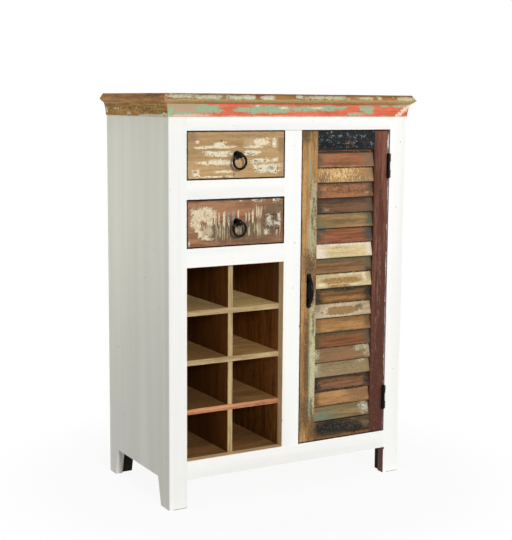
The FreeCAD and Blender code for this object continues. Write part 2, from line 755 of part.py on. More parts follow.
def slat_point(along, through):
    """A point of the lowest slat: up its slope and through its thickness from the lower front edge."""
    low = "door_rail_height + 2 * slat_clearance + slat_thickness * sin(slat_tilt)"
    y = f"slat_setback + ({along}) * sin(slat_tilt) + ({through}) * cos(slat_tilt)"
    z = f"{low} + ({along}) * cos(slat_tilt) - ({through}) * sin(slat_tilt)"
    return y, z


def door_stile(label, x, inner_edge, way):
    body = new_body(label, x, FRONT, DOOR_Z)
    section = new_sketch(body, "XY")
    rectangle(section, "0", "0", "door_stile_width", "door_thickness")
    pad(body, section, DOOR_HEIGHT)
    for base in ("0", f"{DOOR_HEIGHT} - door_rail_height"):
        pocket = new_sketch(body, "YZ", inner_edge)
        tenon_height = "door_rail_height - 2 * tenon_shoulder"
        rectangle(pocket, DOOR_TENON_INSET, f"{base} + tenon_shoulder", "tenon_thickness", tenon_height)
        cut(body, pocket, "tenon_length", way)
    low, high = "-slat_clearance", "slat_width + slat_clearance"
    near_face, far_face = "-slat_clearance", "slat_thickness + slat_clearance"
    slot_outline = new_sketch(body, "YZ", inner_edge)
    outline(slot_outline, [
        slat_point(low, near_face),
        slat_point(low, far_face),
        slat_point(high, far_face),
        slat_point(high, near_face),
    ])
    slot = cut(body, slot_outline, "slat_housing", way)
    repeat(body, [slot], "Z", SLAT_TRAVEL, "slat_count")


def door_rail(label, z):
    body = new_body(label, f"{DOOR_X} + door_stile_width", FRONT, z)
    section = new_sketch(body, "YZ")
    rectangle(section, "0", "0", "door_thickness", "door_rail_height")
    pad(body, section, LOUVRE_WIDTH)
    tenon = new_sketch(body, "YZ", "-tenon_length")
    tenon_height = "door_rail_height - 2 * tenon_shoulder"
    rectangle(tenon, DOOR_TENON_INSET, "tenon_shoulder", "tenon_thickness", tenon_height)
    pad(body, tenon, f"{LOUVRE_WIDTH} + 2 * tenon_length")


door_stile("door_left_stile", DOOR_X, "door_stile_width", -1)
door_stile("door_right_stile", f"{DOOR_X} + {DOOR_WIDTH} - door_stile_width", "0", 1)
door_rail("door_bottom_rail", DOOR_Z)
door_rail("door_top_rail", f"{DOOR_Z} + {DOOR_HEIGHT} - door_rail_height")

slat_end = "(slat_housing - slat_clearance)"
door_slats = new_body("door_slats", f"{DOOR_X} + door_stile_width - {slat_end}", FRONT, DOOR_Z)
slat_section = new_sketch(door_slats, "YZ")
outline(slat_section, [
    slat_point("slat_width", "0"),
    slat_point("slat_easing", "0"),
    slat_point("0", "slat_easing"),
    slat_point("0", "slat_thickness"),
    slat_point("slat_width", "slat_thickness"),
])
lowest_slat = pad(door_slats, slat_section, f"{LOUVRE_WIDTH} + 2 * {slat_end}")
repeat(door_slats, [lowest_slat], "Z", SLAT_TRAVEL, "slat_count")

# Bow handle: a plate with rounded ends and a bow that springs from both ends of it
door_handle = new_body("door_handle", f"{DOOR_X} + handle_inset", FRONT, "handle_height")
plate = new_sketch(door_handle, "XZ", "-handle_plate_thickness")
plate_half = "(handle_plate_width / 2)"
plate_cap = f"(handle_end_radius - sqrt(handle_end_radius ^ 2 - {plate_half} ^ 2))"
plate_straight = f"(handle_length / 2 - {plate_cap})"
outline(plate, [
    (f"-{plate_half}", f"-{plate_straight}"),
    (plate_half, f"-{plate_straight}"),
    (plate_half, plate_straight),
    (f"-{plate_half}", plate_straight),
], {0: ("handle_end_radius", 1), 2: ("handle_end_radius", 1)})
pad(door_handle, plate, "handle_plate_thickness")
bow_span = "(handle_length - 2 * handle_foot)"
grip_span = f"({bow_span} - 2 * handle_root)"
bow_root = "(handle_plate_thickness / 2)"
bow_outer_rise = f"(handle_reach - {bow_root})"
bow_inner_rise = f"({bow_outer_rise} - handle_bow_thickness)"


def bow_radius(span, rise):
    return f"(({span} ^ 2 / 4 + {rise} ^ 2) / (2 * {rise}))"


bow_side = new_sketch(door_handle, "YZ", "-handle_bow_width / 2")
outline(bow_side, [
    (f"-{bow_root}", f"-{bow_span} / 2"),
    (f"-{bow_root}", f"{bow_span} / 2"),
    (f"-{bow_root}", f"{grip_span} / 2"),
    (f"-{bow_root}", f"-{grip_span} / 2"),
], {
    0: (bow_radius(bow_span, bow_outer_rise), -1),
    2: (bow_radius(grip_span, bow_inner_rise), 1),
})
pad(door_handle, bow_side, "handle_bow_width")
front_of_bow = value(bow_outer_rise) / 2


def bow_edge(edge):
    """Picks the long curved edges of the bow."""
    box = edge.BoundBox
    return box.ZLength > 0.9 * value(grip_span) and box.YMin < -front_of_bow


dress(door_handle, "Fillet", "Radius", "handle_edge_radius", bow_edge)

# Butt hinges: two leaves folded flat in the gap, cranked to a barrel proud of the door's front,
# and a pin with two heads
HINGE_OFFSET = "(barrel_radius + barrel_proud)"
HINGE_X = f"({SIDE} - stile_width - {HINGE_GAP} / 2 - barrel_shift)"
HINGE_Y = f"({FRONT} - {HINGE_OFFSET})"
LOWER_HINGE = f"({DOOR_Z} + hinge_inset - hinge_length / 2)"
UPPER_HINGE = f"({DOOR_Z} + {DOOR_HEIGHT} - hinge_inset - hinge_length / 2)"
KNUCKLE = "((hinge_length - 2 * knuckle_gap) / 3)"


def hinge_leaf(label, base, leaf_x, knuckle_base, knuckles):
    body = new_body(label, HINGE_X, HINGE_Y, base)
    barrel = new_sketch(body, "XY", knuckle_base)
    circle(barrel, "0", "0", "barrel_radius")
    knuckle = pad(body, barrel, KNUCKLE)
    leaf_end = f"{leaf_x} + leaf_thickness"
    strap_section = new_sketch(body, "XY", knuckle_base)
    outline(strap_section, [
        ("0", "-leaf_thickness / 2"),
        (leaf_end, "-leaf_thickness / 2"),
        (leaf_end, HINGE_OFFSET),
        (leaf_x, HINGE_OFFSET),
        (leaf_x, "leaf_thickness / 2"),
        ("0", "leaf_thickness / 2"),
    ])
    strap = pad(body, strap_section, KNUCKLE)
    if knuckles > 1:
        repeat(body, [knuckle, strap], "Z", f"2 * ({KNUCKLE} + knuckle_gap)", f"{knuckles}")
    leaf = new_sketch(body, "XY")
    rectangle(leaf, leaf_x, HINGE_OFFSET, "leaf_thickness", "leaf_width")
    pad(body, leaf, "hinge_length")
    bore = new_sketch(body, "XY")
    circle(bore, "0", "0", "pin_radius + pin_clearance")
    cut(body, bore, "hinge_length", 1)


frame_leaf_x = "barrel_shift + leaf_gap / 2"
door_leaf_x = "barrel_shift - leaf_gap / 2 - leaf_thickness"
for hinge_name, hinge_base in (("upper", UPPER_HINGE), ("lower", LOWER_HINGE)):
    hinge_leaf(f"{hinge_name}_hinge_frame_leaf", hinge_base, frame_leaf_x, "0", 2)
    hinge_leaf(f"{hinge_name}_hinge_door_leaf", hinge_base, door_leaf_x, f"{KNUCKLE} + knuckle_gap", 1)

hinge_pins = new_body("hinge_pins", HINGE_X, HINGE_Y, LOWER_HINGE)
pin_profile = new_sketch(hinge_pins, "XZ")
pin_dome = "((pin_head_radius ^ 2 + pin_head_height ^ 2) / (2 * pin_head_height))"
outline(pin_profile, [
    ("0", "-pin_head_height"),
    ("pin_head_radius", "0"),
    ("pin_radius", "0"),
    ("pin_radius", "hinge_length"),
    ("pin_head_radius", "hinge_length"),
    ("0", "hinge_length + pin_head_height"),
], {0: (pin_dome, 1), 4: (pin_dome, 1)})
lower_pin = revolve(hinge_pins, pin_profile, "V_Axis")
repeat(hinge_pins, [lower_pin], "Z", f"{UPPER_HINGE} - {LOWER_HINGE}", "2")

# Catch: a block on the back of the middle stile that holds the strike plate of the door
CATCH_Z = f"({OPENING_TOP} - catch_inset)"
catch_face = "(door_thickness + strike_thickness + catch_gap)"
catch_back = "(frame_thickness + catch_depth)"
door_catch = new_body("door_catch", "mid_stile_width / 2", FRONT, f"{CATCH_Z} - catch_height / 2")
catch_section = new_sketch(door_catch, "XY")
outline(catch_section, [
    ("-catch_seat", "frame_thickness"),
    ("0", "frame_thickness"),
    ("0", catch_face),
    ("catch_reach", catch_face),
    ("catch_reach", catch_back),
    ("-catch_seat", catch_back),
])
pad(door_catch, catch_section, "catch_height")
board("strike_plate", ("strike_width", "strike_thickness", "strike_height"),
      (f"{DOOR_X} + front_gap", f"{FRONT} + door_thickness", f"{CATCH_Z} - strike_height / 2"))

# Every feature has to be sound, and every recess has to take material away, before anything is written
doc.recompute()
for feature in doc.Objects:
    if "Invalid" in feature.State or "Error" in feature.State:
        raise RuntimeError(f"{feature.Label} did not compute")
    if feature.TypeId == "PartDesign::Pocket":
        before, after = feature.BaseFeature.Shape.Volume, feature.Shape.Volume
        if after > before - 1e-3:
            raise RuntimeError(f"{feature.Label} takes nothing away")
for piece in pieces:
    if piece.Shape.isNull() or not piece.Shape.isValid():
        raise RuntimeError(f"{piece.Label} has no valid solid")

os.makedirs("parts", exist_ok=True)
for piece in pieces:
    piece.Shape.exportStep(f"parts/{piece.Label}.step")
print(f"{len(pieces)} pieces written")
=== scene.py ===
import json
import math
from collections import namedtuple

import bmesh
import bpy
from mathutils import Matrix, Vector, noise

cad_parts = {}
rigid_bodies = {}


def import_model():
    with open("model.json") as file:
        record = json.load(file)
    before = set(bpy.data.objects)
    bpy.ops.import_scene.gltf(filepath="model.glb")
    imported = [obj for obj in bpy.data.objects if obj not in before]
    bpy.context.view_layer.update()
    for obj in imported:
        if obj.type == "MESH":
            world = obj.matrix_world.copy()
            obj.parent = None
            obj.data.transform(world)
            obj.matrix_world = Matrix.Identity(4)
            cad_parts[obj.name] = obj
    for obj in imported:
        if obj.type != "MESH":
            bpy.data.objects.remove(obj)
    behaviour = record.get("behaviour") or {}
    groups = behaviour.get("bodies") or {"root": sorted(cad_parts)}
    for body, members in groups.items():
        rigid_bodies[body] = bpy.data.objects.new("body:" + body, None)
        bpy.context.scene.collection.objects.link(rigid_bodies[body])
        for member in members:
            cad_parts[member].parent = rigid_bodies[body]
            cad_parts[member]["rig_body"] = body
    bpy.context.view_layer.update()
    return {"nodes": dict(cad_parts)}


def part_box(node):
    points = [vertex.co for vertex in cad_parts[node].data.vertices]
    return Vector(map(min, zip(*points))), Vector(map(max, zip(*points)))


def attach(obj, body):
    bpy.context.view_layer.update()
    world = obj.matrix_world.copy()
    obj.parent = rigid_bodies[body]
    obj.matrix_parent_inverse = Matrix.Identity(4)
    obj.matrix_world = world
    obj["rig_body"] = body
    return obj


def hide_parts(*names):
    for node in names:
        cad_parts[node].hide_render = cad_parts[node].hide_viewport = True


# Highboard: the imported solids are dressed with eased, worn edges and procedural finishes.
# Lengths are in metres, colours in sRGB steps of 0 to 255 as they look in plain light, and paces of
# noise in features per metre.

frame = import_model()
MM = 0.001
AXES = {"x": 0, "y": 1, "z": 2}

# A patch is a rounded box on the face of a board, in shares of the face's width and height.
Patch = namedtuple("Patch", "across up half_width half_height")
# A layer is what is left of old paint on its patches; some layers are stains, and a few are painted
# shade. The more ragged it is, the more of its edge has flaked; the softer it is, the more it fades
# into the timber; the less fill it has, the more the timber shows through its middle. Its flakes run
# along the streak axis, or else with the grain, and its pace is that along and across them.
Layer = namedtuple("Layer", "colour patches ragged soft fill streak pace",
                   defaults=(0.7, 0.12, 1.0, None, (24, 110)))
# A timber is the pair of colours between which the grain of a board moves.
Timber = namedtuple("Timber", "dark light")
# A surface is how a finish takes the light: its roughness in high and in low places, the depth of its
# relief, and its specular level.
Surface = namedtuple("Surface", "roughness depth specular")


def stain(colour, patches, ragged=0.7, soft=0.6):
    """A layer that fades softly into the timber, as dirt does."""
    return Layer(colour, patches, ragged, soft)


def linear(colour):
    """The linear colour, with alpha, of an sRGB one."""
    def channel(step):
        share = step / 255
        return share / 12.92 if share <= 0.04045 else ((share + 0.055) / 1.055) ** 2.4
    return (*[channel(step) for step in colour], 1.0)


# How far a step of the seed moves the noise along X, Y and Z
SEED_SHIFT = (0.37, 0.53, 0.71)
# Timber: paces along and across the grain, and how strongly the streaks and pores show
STREAK_PACE = (8, 130)
FIGURE_PACE = (2.5, 22)
PORE_PACE = (60, 700)
STREAK_SHARE = 0.6
PORE_SHADE = 0.55
PORE_SHARE = 0.55
PORE_DEPTH = 0.5
# Worn paint: how much finer its flecks are than its flakes, and how widely the wear swings
FLECKS_ALONG = 6
FLECKS_ACROSS = 3
WEAR_SWING = 3.0
# Bare places: how their edges wander, and how soft they are
WANDER_PACE = 90
WANDER_SEED = 3
WANDER = 1.6 * MM
BARE_SOFTNESS = 0.3 * MM
# From which cosine a surface faces a direction
FACING_COSINE = 0.5
BUMP_STRENGTH = 0.6


class Finish:
    """A node material. Its methods add nodes and take and give sockets or plain values. Noise lies
    about 0.5, so the soft steps that cut it lie near there."""

    def __init__(self, name):
        self.material = bpy.data.materials.new(name)
        self.material.use_nodes = True
        self.tree = self.material.node_tree
        self.shader = self.tree.nodes["Principled BSDF"]
        places = self.add("ShaderNodeTexCoord")
        self.point = places.outputs["Object"]
        self.normal = places.outputs["Normal"]
        split = self.add("ShaderNodeSeparateXYZ")
        self.feed(split.inputs[0], self.point)
        self.place = dict(zip("xyz", split.outputs))

    def add(self, kind, **settings):
        node = self.tree.nodes.new(kind)
        for key, setting in settings.items():
            setattr(node, key, setting)
        return node

    def feed(self, socket, item):
        if isinstance(item, bpy.types.NodeSocket):
            self.tree.links.new(item, socket)
        else:
            socket.default_value = item

    def math(self, operation, *items):
        node = self.add("ShaderNodeMath", operation=operation)
        for socket, item in zip(node.inputs, items):
            self.feed(socket, item)
        return node.outputs[0]

    def vector(self, operation, first, second, output=0):
        node = self.add("ShaderNodeVectorMath", operation=operation)
        self.feed(node.inputs[0], first)
        self.feed(node.inputs[1], second)
        return node.outputs[output]

    def step(self, item, low, high, bottom=0.0, top=1.0):
        """A soft step of the item from low to high."""
        node = self.add("ShaderNodeMapRange", interpolation_type="SMOOTHSTEP")
        for socket, value in zip(node.inputs, (item, low, high, bottom, top)):
            self.feed(socket, value)
        return node.outputs[0]

    def mix(self, share, first, second):
        """The colour at a share of the way from the first to the second."""
        node = self.add("ShaderNodeMix", data_type="RGBA")
        for number, item in ((0, share), (6, first), (7, second)):
            self.feed(node.inputs[number], item)
        return node.outputs[2]

    def speckle(self, scale, seed, detail=3.0, roughness=0.55, distortion=0.0):
        """Noise with so many features per metre along X, Y and Z, moved by the seed."""
        moved = self.vector("ADD", self.point, tuple(seed * shift for shift in SEED_SHIFT))
        node = self.add("ShaderNodeTexNoise")
        self.feed(node.inputs["Vector"], self.vector("MULTIPLY", moved, scale))
        for key, item in (("Scale", 1.0), ("Detail", detail), ("Roughness", roughness),
                          ("Distortion", distortion)):
            node.inputs[key].default_value = item
        return node.outputs[0]

    def dots(self, pace, seed, **settings):
        """Noise that is alike along every axis."""
        return self.speckle((pace,) * 3, seed, **settings)

    def grain(self, axis, pace, seed, **settings):
        """Noise drawn out along one axis, with its paces along and across."""
        along, across = pace
        scale = [across] * 3
        scale[AXES[axis]] = along
        return self.speckle(tuple(scale), seed, **settings)

    def share(self, axis, low, high):
        """How far a point lies from low (0) to high (1) along an axis."""
        node = self.add("ShaderNodeMapRange", clamp=False)
        for socket, value in zip(node.inputs, (self.place[axis], low, high, 0.0, 1.0)):
            self.feed(socket, value)
        return node.outputs[0]

    def edge(self, low, high):
        """The way to the nearest edge of a box, for a point on its surface."""
        gaps = []
        for axis in "xyz":
            number = AXES[axis]
            from_low = self.math("SUBTRACT", self.place[axis], low[number])
            from_high = self.math("SUBTRACT", high[number], self.place[axis])
            gaps.append(self.math("MINIMUM", from_low, from_high))
        near = self.math("MINIMUM", gaps[0], gaps[1])
        far = self.math("MAXIMUM", gaps[0], gaps[1])
        return self.math("MAXIMUM", near, self.math("MINIMUM", far, gaps[2]))

    def facing(self, direction):
        """1 where the surface looks in the direction, 0 on its sides and back."""
        cosine = self.vector("DOT_PRODUCT", self.normal, direction, "Value")
        return self.step(cosine, 0.0, FACING_COSINE)

    def wear(self, axis, pace, seed):
        """Noise about zero, drawn out along the axis, with fine flecks in it."""
        along, across = pace
        flakes = self.grain(axis, pace, seed, detail=5, roughness=0.7)
        finer = (FLECKS_ALONG * along, FLECKS_ACROSS * across)
        flecks = self.grain(axis, finer, seed + 1, detail=4, roughness=0.7)
        both = self.math("ADD", flakes, flecks)
        return self.math("MULTIPLY_ADD", both, WEAR_SWING, -WEAR_SWING)

    def apart(self, share, middle, half):
        """The square of how far a share lies from the middle of a patch, in halves of the patch."""
        away = self.math("MULTIPLY_ADD", share, 1 / half, -middle / half)
        return self.math("MULTIPLY", away, away)

    def cover(self, across, up, layer, wear):
        """1 where paint is left: on the layer's patches, and as far round them as the wear goes."""
        nearest = None
        for patch in layer.patches:
            aside = self.apart(across, patch.across, patch.half_width)
            above = self.apart(up, patch.up, patch.half_height)
            fourth = self.math("MULTIPLY_ADD", above, above, self.math("MULTIPLY", aside, aside))
            nearest = fourth if nearest is None else self.math("MINIMUM", nearest, fourth)
        margin = self.math("SUBTRACT", wear, self.math("SQRT", self.math("SQRT", nearest)))
        return self.step(margin, -layer.fill - layer.soft, -layer.fill + layer.soft)

    def inside(self, box):
        """1 inside a box of spans by axis, with an edge that wanders by about half a millimetre."""
        wander = self.math("MULTIPLY_ADD", self.dots(WANDER_PACE, WANDER_SEED), WANDER, -WANDER / 2)
        share = 1.0
        for axis, (low, high) in box.items():
            place = self.math("ADD", self.place[axis], wander)
            over = self.step(place, low - BARE_SOFTNESS, low + BARE_SOFTNESS)
            under = self.step(place, high + BARE_SOFTNESS, high - BARE_SOFTNESS)
            share = self.math("MULTIPLY", share, self.math("MULTIPLY", over, under))
        return share

    def wood(self, axis, timber, seed):
        """The colour of planed timber with its grain along the axis, and its relief."""
        streak = self.grain(axis, STREAK_PACE, seed, detail=6, roughness=0.7, distortion=0.6)
        figure = self.grain(axis, FIGURE_PACE, seed + 5, detail=4, roughness=0.6)
        pores = self.grain(axis, PORE_PACE, seed + 9, detail=3, roughness=0.65)
        broad = self.math("MULTIPLY", figure, 1 - STREAK_SHARE)
        tone = self.math("MULTIPLY_ADD", streak, STREAK_SHARE, broad)
        colour = self.mix(self.step(tone, 0.4, 0.6), linear(timber.dark), linear(timber.light))
        shade = tuple(PORE_SHADE * step for step in timber.dark)
        colour = self.mix(self.step(pores, 0.54, 0.72, 0.0, PORE_SHARE), colour, linear(shade))
        relief = self.math("MULTIPLY_ADD", pores, -PORE_DEPTH, streak)
        return colour, relief

    def close(self, colour, relief, surface):
        """Joins the colour and the relief to the shader, with how the surface takes the light."""
        on_high, in_low = surface.roughness
        self.feed(self.shader.inputs["Base Color"], colour)
        self.feed(self.shader.inputs["Roughness"], self.step(relief, 0.2, 0.8, in_low, on_high))
        bump = self.add("ShaderNodeBump")
        bump.inputs["Strength"].default_value = BUMP_STRENGTH
        bump.inputs["Distance"].default_value = surface.depth
        self.feed(bump.inputs["Height"], relief)
        self.feed(self.shader.inputs["Normal"], bump.outputs[0])
        self.shader.inputs["Specular IOR Level"].default_value = surface.specular
        return self.material


def span(node):
    """The lowest and the highest corner of a node at rest."""
    low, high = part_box(node)
    return tuple(low), tuple(high)


# Finishes

# The first seed of each kind of piece, so that no two pieces look alike
SEEDS = {
    "frame": 0, "inner": 20, "rack": 32, "box": 40, "front": 50, "moulding": 60, "door": 80, "slat": 100,
    "iron": 130,
}
# How fast chips and dirt become rare on the way from an edge, per metre
EDGE_FALL = 60

WHITE = (249, 249, 246)
OFF_WHITE = (240, 240, 236)
SPECK = (196, 194, 186)
CHIP = Timber((52, 40, 30), (118, 86, 58))
# Pale timber where the paint is off inside the rack bay, made paler still as painted light
BARE_AND_LIT = Timber((238, 198, 146), (254, 228, 186))
# Near-black timber on the faces inside the drawer and door openings: paint-free wood and painted shade
# in the gaps
GAP_TIMBER_AND_SHADE = Timber((26, 20, 14), (58, 44, 30))
LEG_EDGE = Timber((88, 54, 42), (124, 78, 62))
DARK_WALL = Timber((108, 67, 28), (138, 90, 41))
PAINTED = Surface((0.38, 0.52), 0.25 * MM, 0.3)
CLOUD_PACE = (0.7, 18)
BRUSH_PACE = (12, 420)
BRUSH_RELIEF = 0.5
SPECK_PACE = 75
SPECK_SHARE = 0.7
CHIP_PACE = 48
CHIP_RELIEF = 0.6
# Where a knock ends and where it is whole, in radii, with the half radius that the wear adds
KNOCK_RIM = 1.6
KNOCK_CORE = 1.3


def white_paint(node, axis, seed, bare_and_painted_light, knocks):
    """Brushed white paint, chipped along the edges and in some places; in the given boxes timber shows,
    pale as painted light inside the rack bay and near black as painted shade inside the openings.
    """
    low, high = span(node)
    finish = Finish(f"white_paint_{node}")
    cloud = finish.grain(axis, CLOUD_PACE, seed, detail=3)
    brush = finish.grain(axis, BRUSH_PACE, seed + 2, detail=3)
    colour = finish.mix(finish.step(cloud, 0.35, 0.65), linear(OFF_WHITE), linear(WHITE))
    specks = finish.dots(SPECK_PACE, seed + 3, detail=1)
    colour = finish.mix(finish.step(specks, 0.76, 0.8, 0.0, SPECK_SHARE), colour, linear(SPECK))
    wear = finish.dots(CHIP_PACE, seed + 4, detail=4, roughness=0.65)
    chip = finish.step(finish.math("MULTIPLY_ADD", finish.edge(low, high), -EDGE_FALL, wear), 0.68, 0.7)
    for knock in knocks:
        away = finish.vector("DISTANCE", finish.point, knock.centre, "Value")
        ragged = finish.math("MULTIPLY_ADD", wear, knock.radius, away)
        hole = finish.step(ragged, knock.radius * KNOCK_RIM, knock.radius * KNOCK_CORE)
        chip = finish.math("MAXIMUM", chip, hole)
    under, _ = finish.wood(axis, CHIP, seed + 6)
    colour = finish.mix(chip, colour, under)
    for number, (box, timber) in enumerate(bare_and_painted_light):
        shade, _ = finish.wood(axis, timber, seed + 8 + number)
        colour = finish.mix(finish.inside(box), colour, shade)
    strokes = finish.math("MULTIPLY", brush, BRUSH_RELIEF)
    relief = finish.math("MULTIPLY_ADD", chip, -CHIP_RELIEF, strokes)
    return finish.close(colour, relief, PAINTED)


GRIME = (58, 46, 36)
FORWARD = (0.0, -1.0, 0.0)
WORN = Surface((0.55, 0.8), 0.5 * MM, 0.12)
BLOTCH_PACE = (5, 30)
TINT_PACE = 150
TINT_SHARE = 0.75
GRIT_PACE = 190
DIRT_PACE = 40
PAINT_RELIEF = 0.35
# How far apart the seeds of a board's layers are, for the wear and for the tint
WEAR_SEEDS = 11
TINT_SEEDS = 13
LIP_AHEAD = 2 * MM
LIP_DEPTH = 0.8 * MM


def old_timber(node, box, axis, face, seed, timber, layers=(), lip=None, grime=0.5, front_only=False):
    """Reclaimed timber: grain, stains, old paint and some painted shade in layers, dirt along the edges,
    and perhaps a front edge (lip) of another timber. With front_only the layers are on its front alone."""
    low, high = box
    finish = Finish(f"old_timber_{node}")
    colour, relief = finish.wood(axis, timber, seed)
    blotch = finish.grain(axis, BLOTCH_PACE, seed + 2, detail=6, roughness=0.7)
    colour = finish.mix(finish.step(blotch, 0.52, 0.68, 0.0, grime), colour, linear(GRIME))
    across, up = [finish.share(side, low[AXES[side]], high[AXES[side]]) for side in face]
    painted = finish.facing(FORWARD) if front_only else 1.0
    for number, layer in enumerate(layers, start=1):
        wear = finish.wear(layer.streak or axis, layer.pace, seed + WEAR_SEEDS * number)
        wear = finish.math("MULTIPLY", wear, layer.ragged)
        cover = finish.math("MULTIPLY", finish.cover(across, up, layer, wear), painted)
        tint = finish.dots(TINT_PACE, seed + TINT_SEEDS * number, detail=5, roughness=0.75)
        paint = finish.mix(finish.step(tint, 0.5, 0.66, 0.0, TINT_SHARE), linear(layer.colour), colour)
        colour = finish.mix(cover, colour, paint)
        relief = finish.math("MULTIPLY_ADD", cover, PAINT_RELIEF, relief)
    if lip:
        shade, _ = finish.wood(axis, lip, seed + 7)
        edge = finish.inside({"y": (low[1] - LIP_AHEAD, low[1] + LIP_DEPTH)})
        colour = finish.mix(edge, colour, shade)
    grit = finish.dots(GRIT_PACE, seed + 4, detail=6, roughness=0.8)
    colour = finish.mix(finish.step(grit, 0.53, 0.68, 0.0, grime), colour, linear(GRIME))
    dirt = finish.dots(DIRT_PACE, seed + 3, detail=4, roughness=0.6)
    rim = finish.math("MULTIPLY_ADD", finish.edge(low, high), -EDGE_FALL, dirt)
    colour = finish.mix(finish.step(rim, 0.38, 0.62, 0.0, grime), colour, linear(GRIME))
    return finish.close(colour, relief, WORN)


IRON = (9, 8, 8)
RUBBED_IRON = (22, 18, 14)
FORGED = Surface((0.16, 0.3), 0.08 * MM, 0.1)
SCALE_PACE = 70
PIT_PACE = 900
PIT_SHARE = 0.5


def black_iron(name, seed):
    """Blackened iron with a soft sheen and a little brown in the rubbed places."""
    finish = Finish(f"black_iron_{name}")
    scale = finish.dots(SCALE_PACE, seed, detail=4)
    pits = finish.dots(PIT_PACE, seed + 1, detail=3)
    colour = finish.mix(finish.step(scale, 0.42, 0.75), linear(IRON), linear(RUBBED_IRON))
    relief = finish.math("MULTIPLY_ADD", pits, PIT_SHARE, scale)
    return finish.close(colour, relief, FORGED)


# Shapes

WELD_REACH = 1e-6
FLAT_TURN = math.radians(0.4)
ARRIS_TURN = math.radians(55)
SMOOTH_TURN = math.radians(32)
SHORTEST_ARRIS = 12 * MM
ON_BOX = 1e-5
EASE_SEGMENTS = 2
EASE_PROFILE = 0.6
# Widths of eased edges, depths of wear, and the pace of the wear
FRAME_EASE = 0.4 * MM
PANEL_EASE = 1.0 * MM
INNER_EASE = 0.6 * MM
BOARD_EASE = 0.8 * MM
FRONT_EASE = 0.5 * MM
SLAT_EASE = 0.6 * MM
BOARD_WEAR = 0.4 * MM
MOULDING_WEAR = 0.5 * MM
WEAR_PACE = 60
# How far apart the cuts are that let a worn piece follow its wear
BOARD_CUTS = 22 * MM
SLAT_CUTS = 12 * MM


def islands(mesh):
    """The separate solids of a mesh, as lists of vertices."""
    left = set(mesh.verts)
    while left:
        group = []
        ahead = [left.pop()]
        while ahead:
            vertex = ahead.pop()
            group.append(vertex)
            for link in vertex.link_edges:
                other = link.other_vert(vertex)
                if other in left:
                    left.remove(other)
                    ahead.append(other)
        yield group


def corners(vertices):
    """The lowest and the highest corner of the box round some vertices."""
    low = Vector([min(v.co[i] for v in vertices) for i in range(3)])
    high = Vector([max(v.co[i] for v in vertices) for i in range(3)])
    return low, high


def welded(node):
    """A copy of a node's mesh with its flat faces whole."""
    mesh = bmesh.new()
    mesh.from_mesh(frame["nodes"][node].data)
    bmesh.ops.remove_doubles(mesh, verts=mesh.verts, dist=WELD_REACH)
    bmesh.ops.dissolve_limit(mesh, angle_limit=FLAT_TURN, verts=mesh.verts, edges=mesh.edges)
    return mesh


def arrises(mesh, outer_only):
    """Long convex edges; outer_only keeps those on two sides of the solid's own box."""
    chosen = []
    for group in islands(mesh):
        low, high = corners(group)
        for edge in {e for v in group for e in v.link_edges}:
            if not edge.is_manifold or edge.calc_face_angle_signed() < ARRIS_TURN:
                continue
            middle = (edge.verts[0].co + edge.verts[1].co) / 2
            sides = sum(min(middle[i] - low[i], high[i] - middle[i]) < ON_BOX for i in range(3))
            if edge.calc_length() > SHORTEST_ARRIS and (sides >= 2 or not outer_only):
                chosen.append(edge)
    return chosen


def ease(mesh, width, outer_only=True):
    """Takes the sharpness off a mesh's arrises."""
    bmesh.ops.bevel(mesh, geom=arrises(mesh, outer_only), offset=width, offset_type="OFFSET",
                    segments=EASE_SEGMENTS, profile=EASE_PROFILE, affect="EDGES", clamp_overlap=True)


def roughen(mesh, axis, pace, depth, seed):
    """Cuts the mesh across its length and sinks its skin here and there, as old timber is worn."""
    number = AXES[axis]
    low, high = corners(mesh.verts)
    normal = Vector([float(i == number) for i in range(3)])
    for cut in range(1, int((high[number] - low[number]) / pace)):
        geometry = [*mesh.verts, *mesh.edges, *mesh.faces]
        place = normal * (low[number] + cut * pace)
        bmesh.ops.bisect_plane(mesh, geom=geometry, plane_co=place, plane_no=normal)
    mesh.normal_update()
    for vertex in mesh.verts:
        wave = noise.noise(vertex.co * WEAR_PACE + Vector((seed, 2 * seed, 3 * seed)))
        vertex.co -= vertex.normal * depth * (0.5 + 0.5 * wave)


def finish_piece(mesh, name, node, material, slot):
    """Makes the object of a mesh that stands for a node and moves with that node's body."""
    data = bpy.data.meshes.new(name)
    mesh.to_mesh(data)
    mesh.free()
    data.shade_smooth()
    data.set_sharp_from_angle(angle=SMOOTH_TURN)
    data.materials.append(material)
    piece = bpy.data.objects.new(name, data)
    bpy.context.scene.collection.objects.link(piece)
    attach(piece, frame["nodes"][node]["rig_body"])
    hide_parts(node)
    weighted = piece.modifiers.new("weighted_normals", "WEIGHTED_NORMAL")
    weighted.keep_sharp = True


def dress(node, material, slot, width, outer_only=True, axis=None, depth=0.0, seed=0):
    """Makes the piece of a whole node: eased by a width and, where a depth is given, worn by it."""
    mesh = welded(node)
    ease(mesh, width, outer_only)
    if depth:
        roughen(mesh, axis, BOARD_CUTS, depth, seed)
    finish_piece(mesh, f"{node}_dressed", node, material, slot)


# Painted face frame, sides and back

Knock = namedtuple("Knock", "centre radius")
stile_low, stile_high = span("mid_stile")
rack_low, rack_high = span("rack_divider")
front = stile_low[1]
left_foot = span("left_stile")[0][0]
left_bay = span("left_stile")[1][0]
right_leg = span("right_stile")[0][0]
right_foot = span("right_stile")[1][0]
rail_base = span("bottom_rail")[0][2]
opening_top = span("top_rail")[0][2]
lower_base = span("lower_drawer_rail")[1][2]
lower_top = span("upper_drawer_rail")[0][2]
upper_base = span("upper_drawer_rail")[1][2]
rack_span = (rack_low[2], rack_high[2])
drawer_spans = ((lower_base, lower_top), (upper_base, opening_top))
SKIN = 0.7 * MM
FOOT_EDGE = (-SKIN, 1.4 * MM)
FOOT_CORNER = 12 * MM
